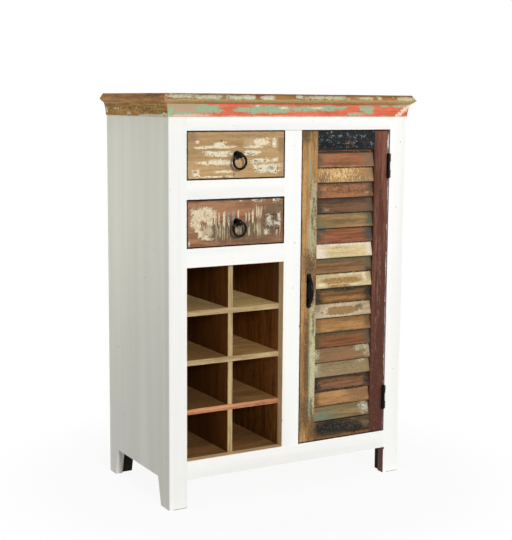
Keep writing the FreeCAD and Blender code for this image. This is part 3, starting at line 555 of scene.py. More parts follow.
# Heights of the knocks on the stiles, and the place along X of the one on the bottom rail
STILE_KNOCK_RIGHT = 0.470
STILE_KNOCK_LEFT = 0.468
STILE_KNOCK_LOW = 0.205
LEG_KNOCK = 0.074
RAIL_KNOCK = -0.300


def skin(place):
    """The span that holds a board's surface at a place."""
    return (place - SKIN, place + SKIN)


# Boxes where the paint is off: timber, with painted light inside the rack bay and painted shade inside
# the openings
bare_and_painted_light_boxes = {
    "left_stile": [
        ({"x": skin(left_bay), "z": rack_span}, BARE_AND_LIT),
        *[({"x": skin(left_bay), "z": opening}, GAP_TIMBER_AND_SHADE) for opening in drawer_spans],
        ({"x": (left_foot + FOOT_CORNER, left_bay + SKIN), "z": FOOT_EDGE}, CHIP),
    ],
    "mid_stile": [
        ({"x": skin(stile_low[0]), "z": rack_span}, BARE_AND_LIT),
        *[({"x": skin(stile_low[0]), "z": opening}, GAP_TIMBER_AND_SHADE) for opening in drawer_spans],
        ({"x": skin(stile_high[0]), "z": (rack_low[2], opening_top)}, GAP_TIMBER_AND_SHADE),
    ],
    "right_stile": [
        ({"x": skin(right_leg), "z": (-SKIN, rail_base)}, LEG_EDGE),
        ({"x": (right_leg + FOOT_CORNER, right_foot + SKIN), "z": FOOT_EDGE}, CHIP),
    ],
    "top_rail": [({"z": skin(opening_top)}, GAP_TIMBER_AND_SHADE)],
    "bottom_rail": [
        ({"z": skin(rack_low[2]), "x": (left_bay, stile_low[0])}, BARE_AND_LIT),
        ({"z": skin(rack_low[2]), "x": (stile_high[0], right_leg)}, GAP_TIMBER_AND_SHADE),
    ],
    "upper_drawer_rail": [({"z": skin(upper_base)}, GAP_TIMBER_AND_SHADE), ({"z": skin(lower_top)}, GAP_TIMBER_AND_SHADE)],
    "lower_drawer_rail": [({"z": skin(lower_base)}, GAP_TIMBER_AND_SHADE), ({"z": skin(rack_high[2])}, BARE_AND_LIT)],
    "right_side": [({"x": skin(span("right_side")[0][0])}, DARK_WALL)],
    "back_panel": [({"y": skin(span("back_panel")[0][1])}, DARK_WALL)],
}
knock_places = {
    "mid_stile": [
        Knock((stile_high[0], front, STILE_KNOCK_RIGHT), 3 * MM),
        Knock((stile_low[0], front, STILE_KNOCK_LEFT), 2.5 * MM),
        Knock((stile_low[0], front, STILE_KNOCK_LOW), 3 * MM),
    ],
    "right_stile": [Knock((right_leg, front, LEG_KNOCK), 4 * MM)],
    "bottom_rail": [Knock((RAIL_KNOCK, front, rack_low[2]), 2 * MM)],
}
white_grain = {
    "left_stile": "z", "right_stile": "z", "mid_stile": "z", "top_rail": "x", "bottom_rail": "x",
    "upper_drawer_rail": "x", "lower_drawer_rail": "x", "left_side": "z", "right_side": "z",
    "back_panel": "z",
}
for seed, (node, axis) in enumerate(white_grain.items(), start=SEEDS["frame"]):
    paint = white_paint(node, axis, seed, bare_and_painted_light_boxes.get(node, ()), knock_places.get(node, ()))
    width = FRAME_EASE if node.endswith(("stile", "rail")) else PANEL_EASE
    dress(node, paint, "white_paint", width, outer_only="side" not in node)

# Inner boards, rack and drawer boxes

SHELF = Timber((172, 132, 76), (224, 184, 122))
# Timber of rack shelf 3: a pale board, made paler as painted light on its top
PALE_AND_LIT_SHELF = Timber((240, 200, 124), (254, 230, 160))
OLIVE_SHELF = Timber((148, 110, 64), (196, 152, 96))
PALE_EDGE = Timber((154, 128, 86), (200, 174, 130))
RED_EDGE = Timber((160, 102, 70), (220, 156, 112))
FLOOR_BOARD = Timber((124, 86, 48), (174, 128, 78))
BLOCK = Timber((28, 24, 18), (52, 42, 30))
RAW = Timber((140, 108, 70), (192, 156, 110))

# Grain and timber of each board
inner_boards = {
    "bottom_board": ("x", FLOOR_BOARD), "leg_blocks": ("z", BLOCK), "left_lining": ("z", DARK_WALL),
    "partition": ("z", DARK_WALL), "rack_top": ("x", DARK_WALL), "drawer_runners": ("y", RAW),
    "cupboard_shelf": ("x", SHELF), "shelf_battens": ("y", RAW), "crown_back": ("x", RAW),
}
inner_layers = {
    "partition": [Layer((166, 112, 54), [Patch(0.5, 0.2, 4.0, 0.26)],
                        ragged=1.2, soft=0.5, fill=0.4, streak="z", pace=(4, 60))],
}
for seed, (node, (axis, timber)) in enumerate(inner_boards.items(), start=SEEDS["inner"]):
    layers = inner_layers.get(node, ())
    material = old_timber(node, span(node), axis, "xz", seed, timber, layers, grime=0.3)
    dress(node, material, "inner_wood", INNER_EASE)

# The left half of a rack shelf, which each shelf's first layer makes darker
LEFT_HALF = [Patch(0.22, 0.5, 0.3, 1.0)]
# Grain, timber, timber of the front edge, and layers
rack_boards = {
    "rack_divider": ("z", DARK_WALL, PALE_EDGE, []),
    "rack_shelf_1": ("x", OLIVE_SHELF, RED_EDGE, [stain((126, 90, 54), LEFT_HALF)]),
    "rack_shelf_2": ("x", SHELF, PALE_EDGE, [stain((150, 116, 68), LEFT_HALF)]),
    "rack_shelf_3": ("x", PALE_AND_LIT_SHELF, PALE_EDGE, [stain((190, 158, 110), LEFT_HALF)]),
}
for seed, (node, board) in enumerate(rack_boards.items(), start=SEEDS["rack"]):
    axis, timber, lip, layers = board
    material = old_timber(node, span(node), axis, "xz", seed, timber, layers, lip, grime=0.2)
    dress(node, material, "rack_wood", BOARD_EASE)

box_sides = {"left_side": "y", "right_side": "y", "back": "x", "bottom": "x"}
box_boards = [(drawer, side) for drawer in ("upper", "lower") for side in box_sides]
for seed, (drawer, side) in enumerate(box_boards, start=SEEDS["box"]):
    node = f"{drawer}_drawer_{side}"
    material = old_timber(node, span(node), box_sides[side], "xz", seed, RAW, grime=0.3)
    dress(node, material, "drawer_wood", BOARD_EASE)

# Drawer fronts

CREAM = (234, 223, 194)
DULL_CREAM = (224, 209, 175)
PALE_LINE = (200, 182, 148)
BLUE_GREY = (104, 114, 110)
UMBER = (102, 82, 62)
# Soot; along the top of the lower drawer front the same colour is painted shade
SOOT_AND_SHADE = (46, 42, 36)

upper_layers = [
    stain((150, 120, 88), [Patch(0.04, 0.9, 0.05, 0.12), Patch(0.97, 0.7, 0.03, 0.16)]),
    stain((194, 166, 130), [Patch(0.63, 0.77, 0.05, 0.08)]),
    Layer(CREAM, [
        Patch(0.098, 0.777, 0.02, 0.035), Patch(0.125, 0.66, 0.06, 0.022), Patch(0.32, 0.73, 0.06, 0.05),
        Patch(0.3, 0.67, 0.18, 0.03), Patch(0.68, 0.67, 0.1, 0.028), Patch(0.755, 0.775, 0.08, 0.085),
        Patch(0.895, 0.74, 0.024, 0.1), Patch(0.32, 0.545, 0.14, 0.045), Patch(0.34, 0.49, 0.12, 0.03),
        Patch(0.66, 0.54, 0.075, 0.05), Patch(0.29, 0.335, 0.19, 0.035), Patch(0.31, 0.345, 0.1, 0.06),
        Patch(0.745, 0.365, 0.1, 0.05), Patch(0.907, 0.38, 0.03, 0.045), Patch(0.83, 0.2, 0.12, 0.1),
        Patch(0.72, 0.23, 0.05, 0.05), Patch(0.085, 0.13, 0.035, 0.07), Patch(0.37, 0.145, 0.085, 0.028),
        Patch(0.255, 0.04, 0.2, 0.016),
    ], ragged=0.9, soft=0.1, fill=0.95, pace=(44, 150)),
    Layer(BLUE_GREY, [
        Patch(0.7, 0.365, 0.06, 0.03), Patch(0.8, 0.36, 0.025, 0.02), Patch(0.74, 0.2, 0.05, 0.035),
        Patch(0.65, 0.51, 0.03, 0.02), Patch(0.9, 0.78, 0.012, 0.03), Patch(0.93, 0.18, 0.012, 0.05),
        Patch(0.64, 0.52, 0.05, 0.03), Patch(0.4, 0.49, 0.06, 0.012), Patch(0.87, 0.2, 0.05, 0.06),
    ], ragged=1.3, soft=0.2, fill=0.4, pace=(90, 170)),
    Layer(UMBER, [
        Patch(0.34, 0.8, 0.006, 0.03), Patch(0.2, 0.335, 0.008, 0.02), Patch(0.075, 0.15, 0.015, 0.02),
        Patch(0.91, 0.12, 0.008, 0.02), Patch(0.47, 0.08, 0.004, 0.05), Patch(0.38, 0.03, 0.03, 0.012),
    ], ragged=0.8, soft=0.3),
]
lower_layers = [
    stain(UMBER, [
        Patch(0.36, 0.3, 0.2, 0.22), Patch(0.62, 0.3, 0.2, 0.26), Patch(0.89, 0.5, 0.11, 0.42),
    ]),
    Layer((124, 104, 78), [
        Patch(0.36, 0.3, 0.12, 0.18), Patch(0.7, 0.3, 0.12, 0.2), Patch(0.91, 0.68, 0.09, 0.2),
    ], ragged=1.0, soft=0.4, fill=0.7, streak="z", pace=(12, 120)),
    Layer(PALE_LINE, [
        Patch(0.21, 0.3, 0.06, 0.12), Patch(0.35, 0.3, 0.12, 0.2), Patch(0.52, 0.34, 0.08, 0.2),
        Patch(0.7, 0.34, 0.1, 0.22), Patch(0.74, 0.7, 0.07, 0.2), Patch(0.93, 0.3, 0.06, 0.24),
    ], ragged=1.5, soft=0.12, fill=0.2, streak="z", pace=(4, 210)),
    Layer((92, 74, 58), [
        Patch(0.4, 0.4, 0.2, 0.32), Patch(0.6, 0.34, 0.2, 0.32), Patch(0.88, 0.5, 0.12, 0.44),
    ], ragged=1.2, soft=0.25, fill=0.0, streak="z", pace=(6, 190)),
    Layer(DULL_CREAM, [
        Patch(0.15, 0.69, 0.115, 0.16), Patch(0.075, 0.52, 0.05, 0.12), Patch(0.22, 0.55, 0.04, 0.12),
        Patch(0.1, 0.4, 0.03, 0.09), Patch(0.13, 0.28, 0.03, 0.08), Patch(0.17, 0.2, 0.035, 0.05),
        Patch(0.22, 0.16, 0.04, 0.03),
    ], ragged=0.5, soft=0.15, fill=0.95, pace=(50, 90)),
    Layer((196, 178, 146), [Patch(0.19, 0.36, 0.08, 0.17)],
          ragged=0.9, soft=0.35, fill=0.45, streak="z", pace=(16, 120)),
    Layer(DULL_CREAM, [
        Patch(0.272, 0.6, 0.006, 0.18), Patch(0.286, 0.6, 0.004, 0.2), Patch(0.317, 0.6, 0.009, 0.18),
        Patch(0.37, 0.58, 0.014, 0.17), Patch(0.417, 0.58, 0.014, 0.18), Patch(0.468, 0.62, 0.012, 0.18),
        Patch(0.516, 0.66, 0.009, 0.12), Patch(0.6, 0.6, 0.005, 0.1), Patch(0.633, 0.62, 0.01, 0.13),
        Patch(0.67, 0.62, 0.011, 0.16), Patch(0.71, 0.72, 0.005, 0.14), Patch(0.728, 0.72, 0.006, 0.15),
        Patch(0.76, 0.7, 0.004, 0.14), Patch(0.725, 0.36, 0.005, 0.14), Patch(0.633, 0.3, 0.006, 0.1),
    ], ragged=0.6, soft=0.15, fill=0.8, streak="z", pace=(12, 150)),
    Layer((214, 204, 180), [
        Patch(0.85, 0.52, 0.04, 0.14), Patch(0.93, 0.44, 0.06, 0.06), Patch(0.82, 0.26, 0.035, 0.09),
        Patch(0.955, 0.58, 0.02, 0.12), Patch(0.012, 0.07, 0.014, 0.11),
    ], ragged=0.9, soft=0.25, fill=0.6, pace=(60, 110)),
    Layer((96, 52, 40), [Patch(0.93, 0.33, 0.05, 0.05), Patch(0.9, 0.64, 0.04, 0.04)],
          ragged=1.0, soft=0.3, fill=0.5),
    Layer(CREAM, [
        Patch(0.545, 0.96, 0.06, 0.014), Patch(0.705, 0.955, 0.09, 0.03), Patch(0.93, 0.95, 0.05, 0.05),
    ], ragged=1.1, soft=0.15, fill=0.7),
    Layer(BLUE_GREY, [
        Patch(0.43, 0.62, 0.02, 0.16), Patch(0.47, 0.66, 0.014, 0.14), Patch(0.73, 0.955, 0.06, 0.02),
        Patch(0.665, 0.76, 0.012, 0.05), Patch(0.93, 0.95, 0.03, 0.03), Patch(0.24, 0.16, 0.02, 0.025),
    ], ragged=1.2, soft=0.25, fill=0.65, streak="z", pace=(20, 170)),
    # Painted shade: a dark band along the top of the lower drawer front that widens the gap line above
    # it
    Layer(SOOT_AND_SHADE, [Patch(0.5, 1.0, 0.7, 0.02)], ragged=0.1),
]
# Timber, layers, slot and grime
fronts = {
    "upper": (Timber((172, 140, 96), (198, 163, 116)), upper_layers, "upper_front_wood", 0.35),
    "lower": (Timber((142, 100, 72), (176, 130, 96)), lower_layers, "lower_front_wood", 0.5),
}
for seed, (drawer, board) in enumerate(fronts.items(), start=SEEDS["front"]):
    timber, layers, slot, grime = board
    node = f"{drawer}_drawer_front"
    material = old_timber(node, span(node), "x", "xz", seed, timber, layers,
                          grime=grime, front_only=True)
    dress(node, material, slot, FRONT_EASE, axis="x", depth=BOARD_WEAR, seed=seed)

# Crown and top

MINT = (150, 188, 152)
CORAL = Timber((210, 98, 70), (232, 122, 92))
NOSE_BROWN = Timber((148, 100, 54), (192, 140, 82))
SIDE_BROWN = Timber((156, 114, 58), (216, 166, 98))
SIDE_NOSE = Timber((184, 128, 76), (236, 176, 116))
PLANK = Timber((128, 88, 54), (186, 138, 90))
PALE_TAN = (204, 168, 138)
HAZE = (226, 196, 172)
PALE_GREEN = (218, 216, 180)
SIDE_FLECK = (248, 248, 212)
SIDE_GOLD = (236, 190, 122)
CREAM_BLOB = (232, 226, 200)
LOWER_BEVEL = (204, 174, 122)
STROKE = (112, 94, 72)

crown_layers = [
    stain(PALE_TAN, [Patch(0.05, 0.55, 0.09, 0.6)], ragged=0.4),
    stain((186, 162, 132), [Patch(0.07, 0.7, 0.07, 0.4)], ragged=0.4),
    stain(HAZE, [Patch(0.06, 0.0, 0.09, 0.2), Patch(0.55, -0.05, 0.5, 0.12)], ragged=0.7, soft=0.4),
    Layer(MINT, [
        Patch(0.018, 0.35, 0.01, 0.3), Patch(0.07, 0.3, 0.03, 0.1), Patch(0.165, 0.6, 0.05, 0.28),
        Patch(0.3, 0.56, 0.04, 0.2), Patch(0.37, 0.6, 0.06, 0.32), Patch(0.45, 0.58, 0.05, 0.28),
        Patch(0.54, 0.64, 0.07, 0.22), Patch(0.63, 0.66, 0.06, 0.2), Patch(0.69, 0.7, 0.03, 0.14),
        Patch(0.755, 0.24, 0.03, 0.12), Patch(0.795, 0.7, 0.02, 0.2), Patch(0.82, 0.55, 0.022, 0.3),
        Patch(0.885, 0.88, 0.02, 0.06), Patch(0.955, 0.85, 0.03, 0.1),
    ], ragged=0.85, soft=0.1, fill=0.95, pace=(60, 130)),
    Layer(CREAM, [
        Patch(0.345, 0.85, 0.014, 0.08), Patch(0.455, 0.68, 0.022, 0.12), Patch(0.585, 0.7, 0.035, 0.1),
    ], ragged=0.9, soft=0.15, fill=0.6, pace=(70, 130)),
    Layer(CREAM, [
        Patch(0.99, 0.82, 0.012, 0.2), Patch(0.979, 0.63, 0.012, 0.22), Patch(0.968, 0.45, 0.012, 0.22),
        Patch(0.957, 0.27, 0.012, 0.22), Patch(0.946, 0.1, 0.012, 0.2),
    ], ragged=0.6, soft=0.2, fill=0.75, pace=(40, 70)),
]
crown_side_layers = [
    Layer(SIDE_GOLD, [Patch(0.5, 0.5, 2.0, 2.0)], ragged=1.1, soft=0.3, fill=-0.1, pace=(60, 150)),
    Layer(SIDE_FLECK, [
        Patch(0.18, 0.1, 0.2, 0.1), Patch(0.37, 0.08, 0.08, 0.08), Patch(0.06, 0.2, 0.05, 0.12),
        Patch(0.61, 0.2, 0.03, 0.1), Patch(0.975, 0.4, 0.016, 0.25),
    ], ragged=1.0, soft=0.15, fill=0.8, pace=(80, 130)),
    Layer(SIDE_FLECK, [Patch(0.8, 0.56, 0.1, 0.16)], ragged=1.1, soft=0.2, fill=0.1, pace=(120, 220)),
    Layer(MINT, [Patch(0.25, 0.95, 0.24, 0.04)], ragged=1.1, soft=0.2, fill=0.7),
    Layer((86, 60, 30), [Patch(0.5, 0.6, 2.0, 1.5)], ragged=1.2, soft=0.3, fill=-0.35, pace=(90, 170)),
]
nose_layers = [
    stain(LOWER_BEVEL, [Patch(0.5, 0.1, 0.9, 0.32)], ragged=0.2, soft=0.2),
    Layer(PALE_GREEN, [
        Patch(0.07, 0.72, 0.055, 0.2), Patch(0.16, 0.68, 0.07, 0.2), Patch(0.27, 0.66, 0.05, 0.2),
        Patch(0.62, 0.67, 0.085, 0.17), Patch(0.78, 0.66, 0.03, 0.15), Patch(0.84, 0.66, 0.01, 0.15),
        Patch(0.96, 0.64, 0.05, 0.19),
    ], ragged=1.0, soft=0.12, fill=0.95, pace=(90, 130)),
    Layer(CREAM_BLOB, [
        Patch(0.312, 0.66, 0.022, 0.2), Patch(0.385, 0.64, 0.025, 0.2), Patch(0.51, 0.74, 0.014, 0.16),
    ], ragged=0.5),
]
nose_side_layers = [
    Layer(STROKE, [
        Patch(0.15, 0.7, 0.13, 0.3), Patch(0.42, 0.72, 0.1, 0.28), Patch(0.74, 0.7, 0.12, 0.3),
    ], ragged=1.4, soft=0.25, fill=0.1, streak="z", pace=(90, 170)),
    Layer((104, 76, 52), [Patch(0.5, 0.6, 2.0, 1.5)], ragged=1.2, soft=0.3, fill=-0.25, pace=(110, 200)),
]
# Grain, axes of the face, timber, layers and grime
mouldings = {
    "crown_front": ("x", "xz", CORAL, crown_layers, 0.25),
    "crown_left": ("y", "yz", SIDE_BROWN, crown_side_layers, 0.5),
    "crown_right": ("y", "yz", SIDE_BROWN, crown_side_layers, 0.5),
    "front_nosing": ("x", "xz", NOSE_BROWN, nose_layers, 0.4),
    "left_nosing": ("y", "yz", SIDE_NOSE, nose_side_layers, 0.45),
    "right_nosing": ("y", "yz", SIDE_NOSE, nose_side_layers, 0.45),
    "top_plank_1": ("x", "xy", PLANK, [], 0.45),
    "top_plank_2": ("x", "xy", NOSE_BROWN, [], 0.45),
    "top_plank_3": ("x", "xy", PLANK, [], 0.45),
}
for seed, (node, board) in enumerate(mouldings.items(), start=SEEDS["moulding"]):
    axis, face, timber, layers, grime = board
    material = old_timber(node, span(node), axis, face, seed, timber, layers, grime=grime)
    dress(node, material, "moulding_wood", BOARD_EASE, outer_only=False, axis=axis,
          depth=MOULDING_WEAR, seed=seed)

# Louvred door

SAGE = (182, 176, 140)
PALE_SAGE = (198, 192, 150)
MINT_EDGE = (142, 166, 140)
GOLD = (116, 98, 66)
SMEAR = (222, 218, 214)
SAWN = {"streak": "z", "pace": (3, 190)}
SPECKS = {"pace": (80, 150)}
FINE_SPECKS = {"pace": (170, 250)}

# Grain, timber and layers
door_frame = {
    "door_left_stile": ("z", Timber((156, 116, 70), (200, 156, 102)), [
        stain((104, 80, 54), [
            Patch(0.2, 0.985, 0.4, 0.02), Patch(0.6, 0.575, 0.5, 0.045), Patch(0.7, 0.5, 0.4, 0.05),
            Patch(0.42, 0.28, 0.16, 0.13), Patch(0.5, 0.1, 0.5, 0.06), Patch(0.9, 0.04, 0.3, 0.04),
        ]),
        Layer(MINT_EDGE, [Patch(0.5, 0.88, 0.05, 0.1)], ragged=0.9, soft=0.4, fill=0.6),
        Layer(MINT_EDGE, [Patch(0.58, 0.68, 0.1, 0.06), Patch(0.66, 0.27, 0.09, 0.17)],
              ragged=0.5, soft=0.3),
        Layer(SAGE, [Patch(0.75, 0.735, 0.22, 0.11)], ragged=0.6, soft=0.2),
        Layer(PALE_SAGE, [Patch(0.84, 0.29, 0.18, 0.175)], ragged=0.4, soft=0.2),
        Layer(GOLD, [
            Patch(0.78, 0.75, 0.22, 0.14), Patch(0.85, 0.38, 0.16, 0.09),
        ], ragged=1.5, soft=0.2, fill=0.4, pace=(40, 150)),
    ]),
    "door_right_stile": ("z", Timber((92, 54, 42), (132, 86, 70)), [
        stain((82, 48, 38), [Patch(0.4, 0.1, 0.8, 0.36)]),
        Layer((138, 100, 88), [Patch(0.45, 0.5, 0.5, 0.7)],
              ragged=1.3, soft=0.3, fill=-0.25, pace=(9, 150)),
        Layer(SMEAR, [
            Patch(0.98, 0.97, 0.12, 0.04), Patch(1.0, 0.8, 0.05, 0.14), Patch(1.0, 0.3, 0.05, 0.3),
        ], ragged=1.3, soft=0.3, fill=0.6),
    ]),
    "door_top_rail": ("x", Timber((22, 24, 26), (38, 41, 43)), [
        Layer((160, 164, 164), [Patch(0.5, 0.5, 3.0, 3.0)],
              ragged=1.2, soft=0.2, fill=-0.42, pace=(50, 90)),
        Layer((150, 92, 48), [Patch(0.58, 0.36, 0.1, 0.24)],
              ragged=1.2, soft=0.3, fill=0.0, **FINE_SPECKS),
    ]),
    "door_bottom_rail": ("x", Timber((44, 36, 28), (84, 66, 48)), [
        stain((128, 90, 56), [Patch(0.5, 0.0, 0.8, 0.14), Patch(0.03, 0.5, 0.07, 0.6)]),
        Layer((112, 94, 70), [Patch(0.88, 0.6, 0.14, 0.3), Patch(0.62, 0.9, 0.1, 0.12)],
              ragged=1.2, soft=0.4, fill=0.5),
        Layer((26, 24, 22), [Patch(0.36, 0.6, 0.3, 0.36), Patch(0.75, 0.35, 0.12, 0.2)],
              ragged=1.0, soft=0.35, fill=0.8, pace=(40, 70)),
        Layer((150, 150, 142), [Patch(0.4, 0.6, 1.4, 1.4)],
              ragged=1.1, soft=0.25, fill=-0.5, **FINE_SPECKS),
    ]),
}
for seed, (node, board) in enumerate(door_frame.items(), start=SEEDS["door"]):
    axis, timber, layers = board
    material = old_timber(node, span(node), axis, "xz", seed, timber, layers, front_only=True)
    dress(node, material, "door_wood", BOARD_EASE, axis=axis, depth=BOARD_WEAR, seed=seed)

# Slats from the top down: timber, then the paint and dirt that is left on each, and painted shade under
# the slat above

LEFT = Patch(0.0, 0.6, 0.1, 0.6)
RIGHT = Patch(1.0, 0.6, 0.1, 0.6)
TOP_BAND = Patch(0.5, 1.0, 0.6, 0.22)
LOW_BAND = Patch(0.5, 0.0, 0.6, 0.12)
CORNER = Patch(0.06, 0.95, 0.16, 0.3)
# Painted shade on each slat, close below the edge of the slat above it
SHADE_UNDER_SLAT_ABOVE = Layer((50, 40, 30), [Patch(0.5, 1.0, 0.8, 0.08)], ragged=0.25, soft=0.35, fill=0.9)

slat_finishes = [
    (Timber((138, 92, 62), (174, 116, 80)), [
        stain((104, 84, 66), [LEFT, Patch(0.2, 1.0, 0.2, 0.14)]),
        stain((132, 106, 84), [Patch(0.95, 0.5, 0.12, 0.6)]),
        Layer((172, 142, 112), [Patch(0.5, 0.05, 0.5, 0.1)],
              ragged=1.0, soft=0.4, fill=0.5, pace=(40, 110)),
    ]),
    (Timber((156, 116, 72), (192, 150, 100)), [
        stain((124, 98, 74), [Patch(0.15, 0.25, 0.1, 0.26)]),
        stain((150, 122, 92), [Patch(0.8, 0.25, 0.18, 0.26), RIGHT]),
        Layer((236, 204, 144), [Patch(0.42, 0.55, 0.5, 1.0)], ragged=1.3, soft=0.2, fill=0.2, **SAWN),
    ]),
    (Timber((138, 94, 64), (178, 124, 86)), [
        stain((96, 76, 60), [LEFT, RIGHT, TOP_BAND]),
        Layer((206, 138, 90), [Patch(0.45, 0.04, 0.5, 0.06)], ragged=0.9, soft=0.4, fill=0.6),
        Layer((70, 54, 42), [Patch(0.5, 0.45, 2.0, 1.5)],
              ragged=1.3, soft=0.3, fill=-0.25, streak="z", pace=(24, 230)),
        Layer((176, 158, 136), [Patch(0.88, 0.3, 0.08, 0.2)],
              ragged=1.2, soft=0.3, fill=0.1, **FINE_SPECKS),
    ]),
    (Timber((86, 64, 50), (126, 92, 70)), [
        stain((64, 54, 44), [LEFT, TOP_BAND]),
        stain((94, 80, 64), [RIGHT]),
        Layer((160, 144, 124), [Patch(0.17, 0.25, 0.14, 0.2)],
              ragged=1.2, soft=0.3, fill=0.0, **FINE_SPECKS),
    ]),
    (Timber((132, 104, 70), (168, 136, 94)), [
        stain((100, 112, 80), [
            Patch(0.5, 1.0, 0.6, 0.1), Patch(0.0, 0.4, 0.07, 0.5), Patch(0.05, 0.1, 0.14, 0.18),
        ]),
        stain((88, 92, 68), [Patch(1.0, 0.6, 0.11, 0.5)]),
    ]),
    (Timber((120, 74, 50), (168, 108, 76)), [
        stain((76, 76, 66), [CORNER, Patch(0.0, 0.7, 0.12, 0.6), Patch(1.0, 0.6, 0.14, 0.6)]),
    ]),
    (Timber((206, 184, 134), (228, 206, 158)), [
        stain((234, 222, 200), [Patch(0.0, 0.5, 0.18, 0.7), RIGHT, Patch(0.5, 0.95, 0.5, 0.14)]),
        Layer((124, 92, 58), [Patch(0.45, 0.0, 0.5, 0.06)],
              ragged=1.0, soft=0.2, fill=0.4, pace=(60, 150)),
    ]),
    (Timber((110, 80, 54), (150, 112, 78)), [
        stain((96, 96, 70), [RIGHT, TOP_BAND]),
        stain(SOOT_AND_SHADE, [Patch(1.0, 0.1, 0.14, 0.2)]),
    ]),
    (Timber((190, 172, 128), (214, 196, 150)), [
        Layer((162, 122, 72), [Patch(0.46, 0.46, 0.34, 0.2), Patch(0.42, 0.12, 0.2, 0.1)],
              ragged=0.3, soft=0.2, fill=1.0, pace=(24, 70)),
        Layer((236, 222, 182), [
            Patch(0.12, 0.28, 0.1, 0.16), Patch(0.7, 0.2, 0.12, 0.07), Patch(0.88, 0.6, 0.05, 0.34),
            Patch(0.6, 0.85, 0.26, 0.08),
        ], ragged=0.9, soft=0.25, fill=0.6),
    ]),
    (Timber((98, 72, 44), (140, 104, 66)), [
        stain((172, 120, 70), [Patch(0.5, 0.28, 0.32, 0.12)]),
        stain((40, 36, 30), [LEFT, RIGHT, TOP_BAND]),
    ]),
    (Timber((170, 152, 120), (196, 176, 140)), [
        stain((214, 190, 158), [Patch(0.42, 0.45, 0.36, 0.4)]),
        Layer((132, 104, 68), [Patch(0.48, 0.45, 0.26, 0.26)], ragged=0.4, soft=0.1),
        Layer((158, 124, 82), [Patch(0.48, 0.45, 0.24, 0.22)], ragged=0.4, soft=0.1),
        Layer((120, 100, 70), [
            Patch(0.13, 0.4, 0.02, 0.1), Patch(0.79, 0.58, 0.08, 0.24),
        ], ragged=0.9, soft=0.2, fill=0.7, **SPECKS),
        stain((148, 132, 102), [Patch(0.0, 0.75, 0.12, 0.4)]),
    ]),
    (Timber((150, 110, 66), (186, 142, 90)), [
        stain((128, 98, 64), [LEFT]),
        stain((106, 84, 56), [RIGHT, LOW_BAND]),
    ]),
    (Timber((112, 72, 44), (150, 98, 62)), [
        stain((78, 76, 50), [LEFT, CORNER, TOP_BAND]),
        stain((86, 80, 66), [RIGHT]),
    ]),
    (Timber((128, 102, 70), (158, 128, 92)), [
        stain((150, 108, 76), [Patch(0.5, 0.35, 0.3, 0.22)]),
        Layer((184, 180, 150), [LEFT, RIGHT, Patch(0.85, 0.8, 0.16, 0.3)],
              ragged=1.1, soft=0.3, fill=0.6, **SPECKS),
    ]),
    (Timber((132, 112, 78), (160, 138, 100)), [
        stain((152, 148, 120), [LEFT]),
        Layer((206, 200, 180), [
            Patch(0.04, 0.6, 0.1, 0.5), Patch(0.86, 0.85, 0.18, 0.26),
        ], ragged=1.0, soft=0.25, fill=0.15, **FINE_SPECKS),
        Layer((206, 200, 180), [Patch(0.5, 0.5, 2.0, 1.5)],
              ragged=1.0, soft=0.25, fill=-0.45, **FINE_SPECKS),
    ]),
    (Timber((98, 68, 46), (146, 104, 74)), [
        stain((40, 38, 32), [CORNER, LEFT, LOW_BAND, TOP_BAND, RIGHT]),
        Layer(SOOT_AND_SHADE, [Patch(0.4, 0.1, 0.5, 0.12)], ragged=1.0, soft=0.3, fill=0.4),
    ]),
    (Timber((144, 104, 64), (196, 150, 98)), [
        stain((100, 78, 50), [LEFT, LOW_BAND]),
        stain((142, 106, 72), [Patch(0.84, 0.5, 0.18, 0.7)]),
    ]),
    (Timber((116, 98, 66), (152, 130, 92)), [
        stain((112, 124, 102), [Patch(0.12, 0.2, 0.2, 0.36)]),
        Layer((206, 202, 182), [Patch(0.93, 0.6, 0.12, 0.5)], ragged=1.1, soft=0.3, fill=0.4, **SPECKS),
    ]),
]
slats = welded("door_slats")
slats.verts.index_update()
groups = sorted(islands(slats), key=lambda group: -corners(group)[1].z)
owner = {vertex.index: number for number, group in enumerate(groups) for vertex in group}
louvre_low = span("door_left_stile")[1][0]
louvre_high = span("door_right_stile")[0][0]
pitch = corners(groups[0])[1].z - corners(groups[1])[1].z
for number, (timber, layers) in enumerate(slat_finishes):
    name = f"slat_{number + 1}"
    mesh = slats.copy()
    mesh.verts.ensure_lookup_table()
    others = [v for v in mesh.verts if owner[v.index] != number]
    bmesh.ops.delete(mesh, geom=others, context="VERTS")
    low, high = corners(mesh.verts)
    face = ((louvre_low, low.y, low.z), (louvre_high, high.y, low.z + pitch))
    material = old_timber(name, face, "x", "xz", SEEDS["slat"] + number, timber, [*layers, SHADE_UNDER_SLAT_ABOVE],
                          grime=0.4, front_only=True)
    ease(mesh, SLAT_EASE, outer_only=False)
    roughen(mesh, "x", SLAT_CUTS, BOARD_WEAR, number)
    finish_piece(mesh, name, "door_slats", material, "slat_wood")
slats.free()

# Iron

iron_nodes = [
    "upper_pull_post", "lower_pull_post", "upper_pull_ring", "lower_pull_ring", "door_handle",
    "upper_hinge_frame_leaf", "lower_hinge_frame_leaf", "upper_hinge_door_leaf", "lower_hinge_door_leaf",
    "hinge_pins", "door_catch", "strike_plate",
]
for seed, node in enumerate(iron_nodes, start=SEEDS["iron"]):
    cad = frame["nodes"][node]
    cad.data.materials.clear()
    cad.data.materials.append(black_iron(node, seed))

# Studio: pale floor that fades into a white background, soft light from the front

FLOOR_REACH = 9.0
FLOOR_COLOUR = (250, 250, 250)
FLOOR_ROUGHNESS = 0.9
# How much of its shadow the floor shows under the part, and the ring in which that fades to none
SHADOW_SHARE = 0.08
FADE_START = 0.4
FADE_END = 0.9
SKY = 0.22
PURE_WHITE = (1.0, 1.0, 1.0)
WARM_WHITE = (1.0, 1.0, 0.74)
MIDDLE = (0.0, 0.0, 0.6)


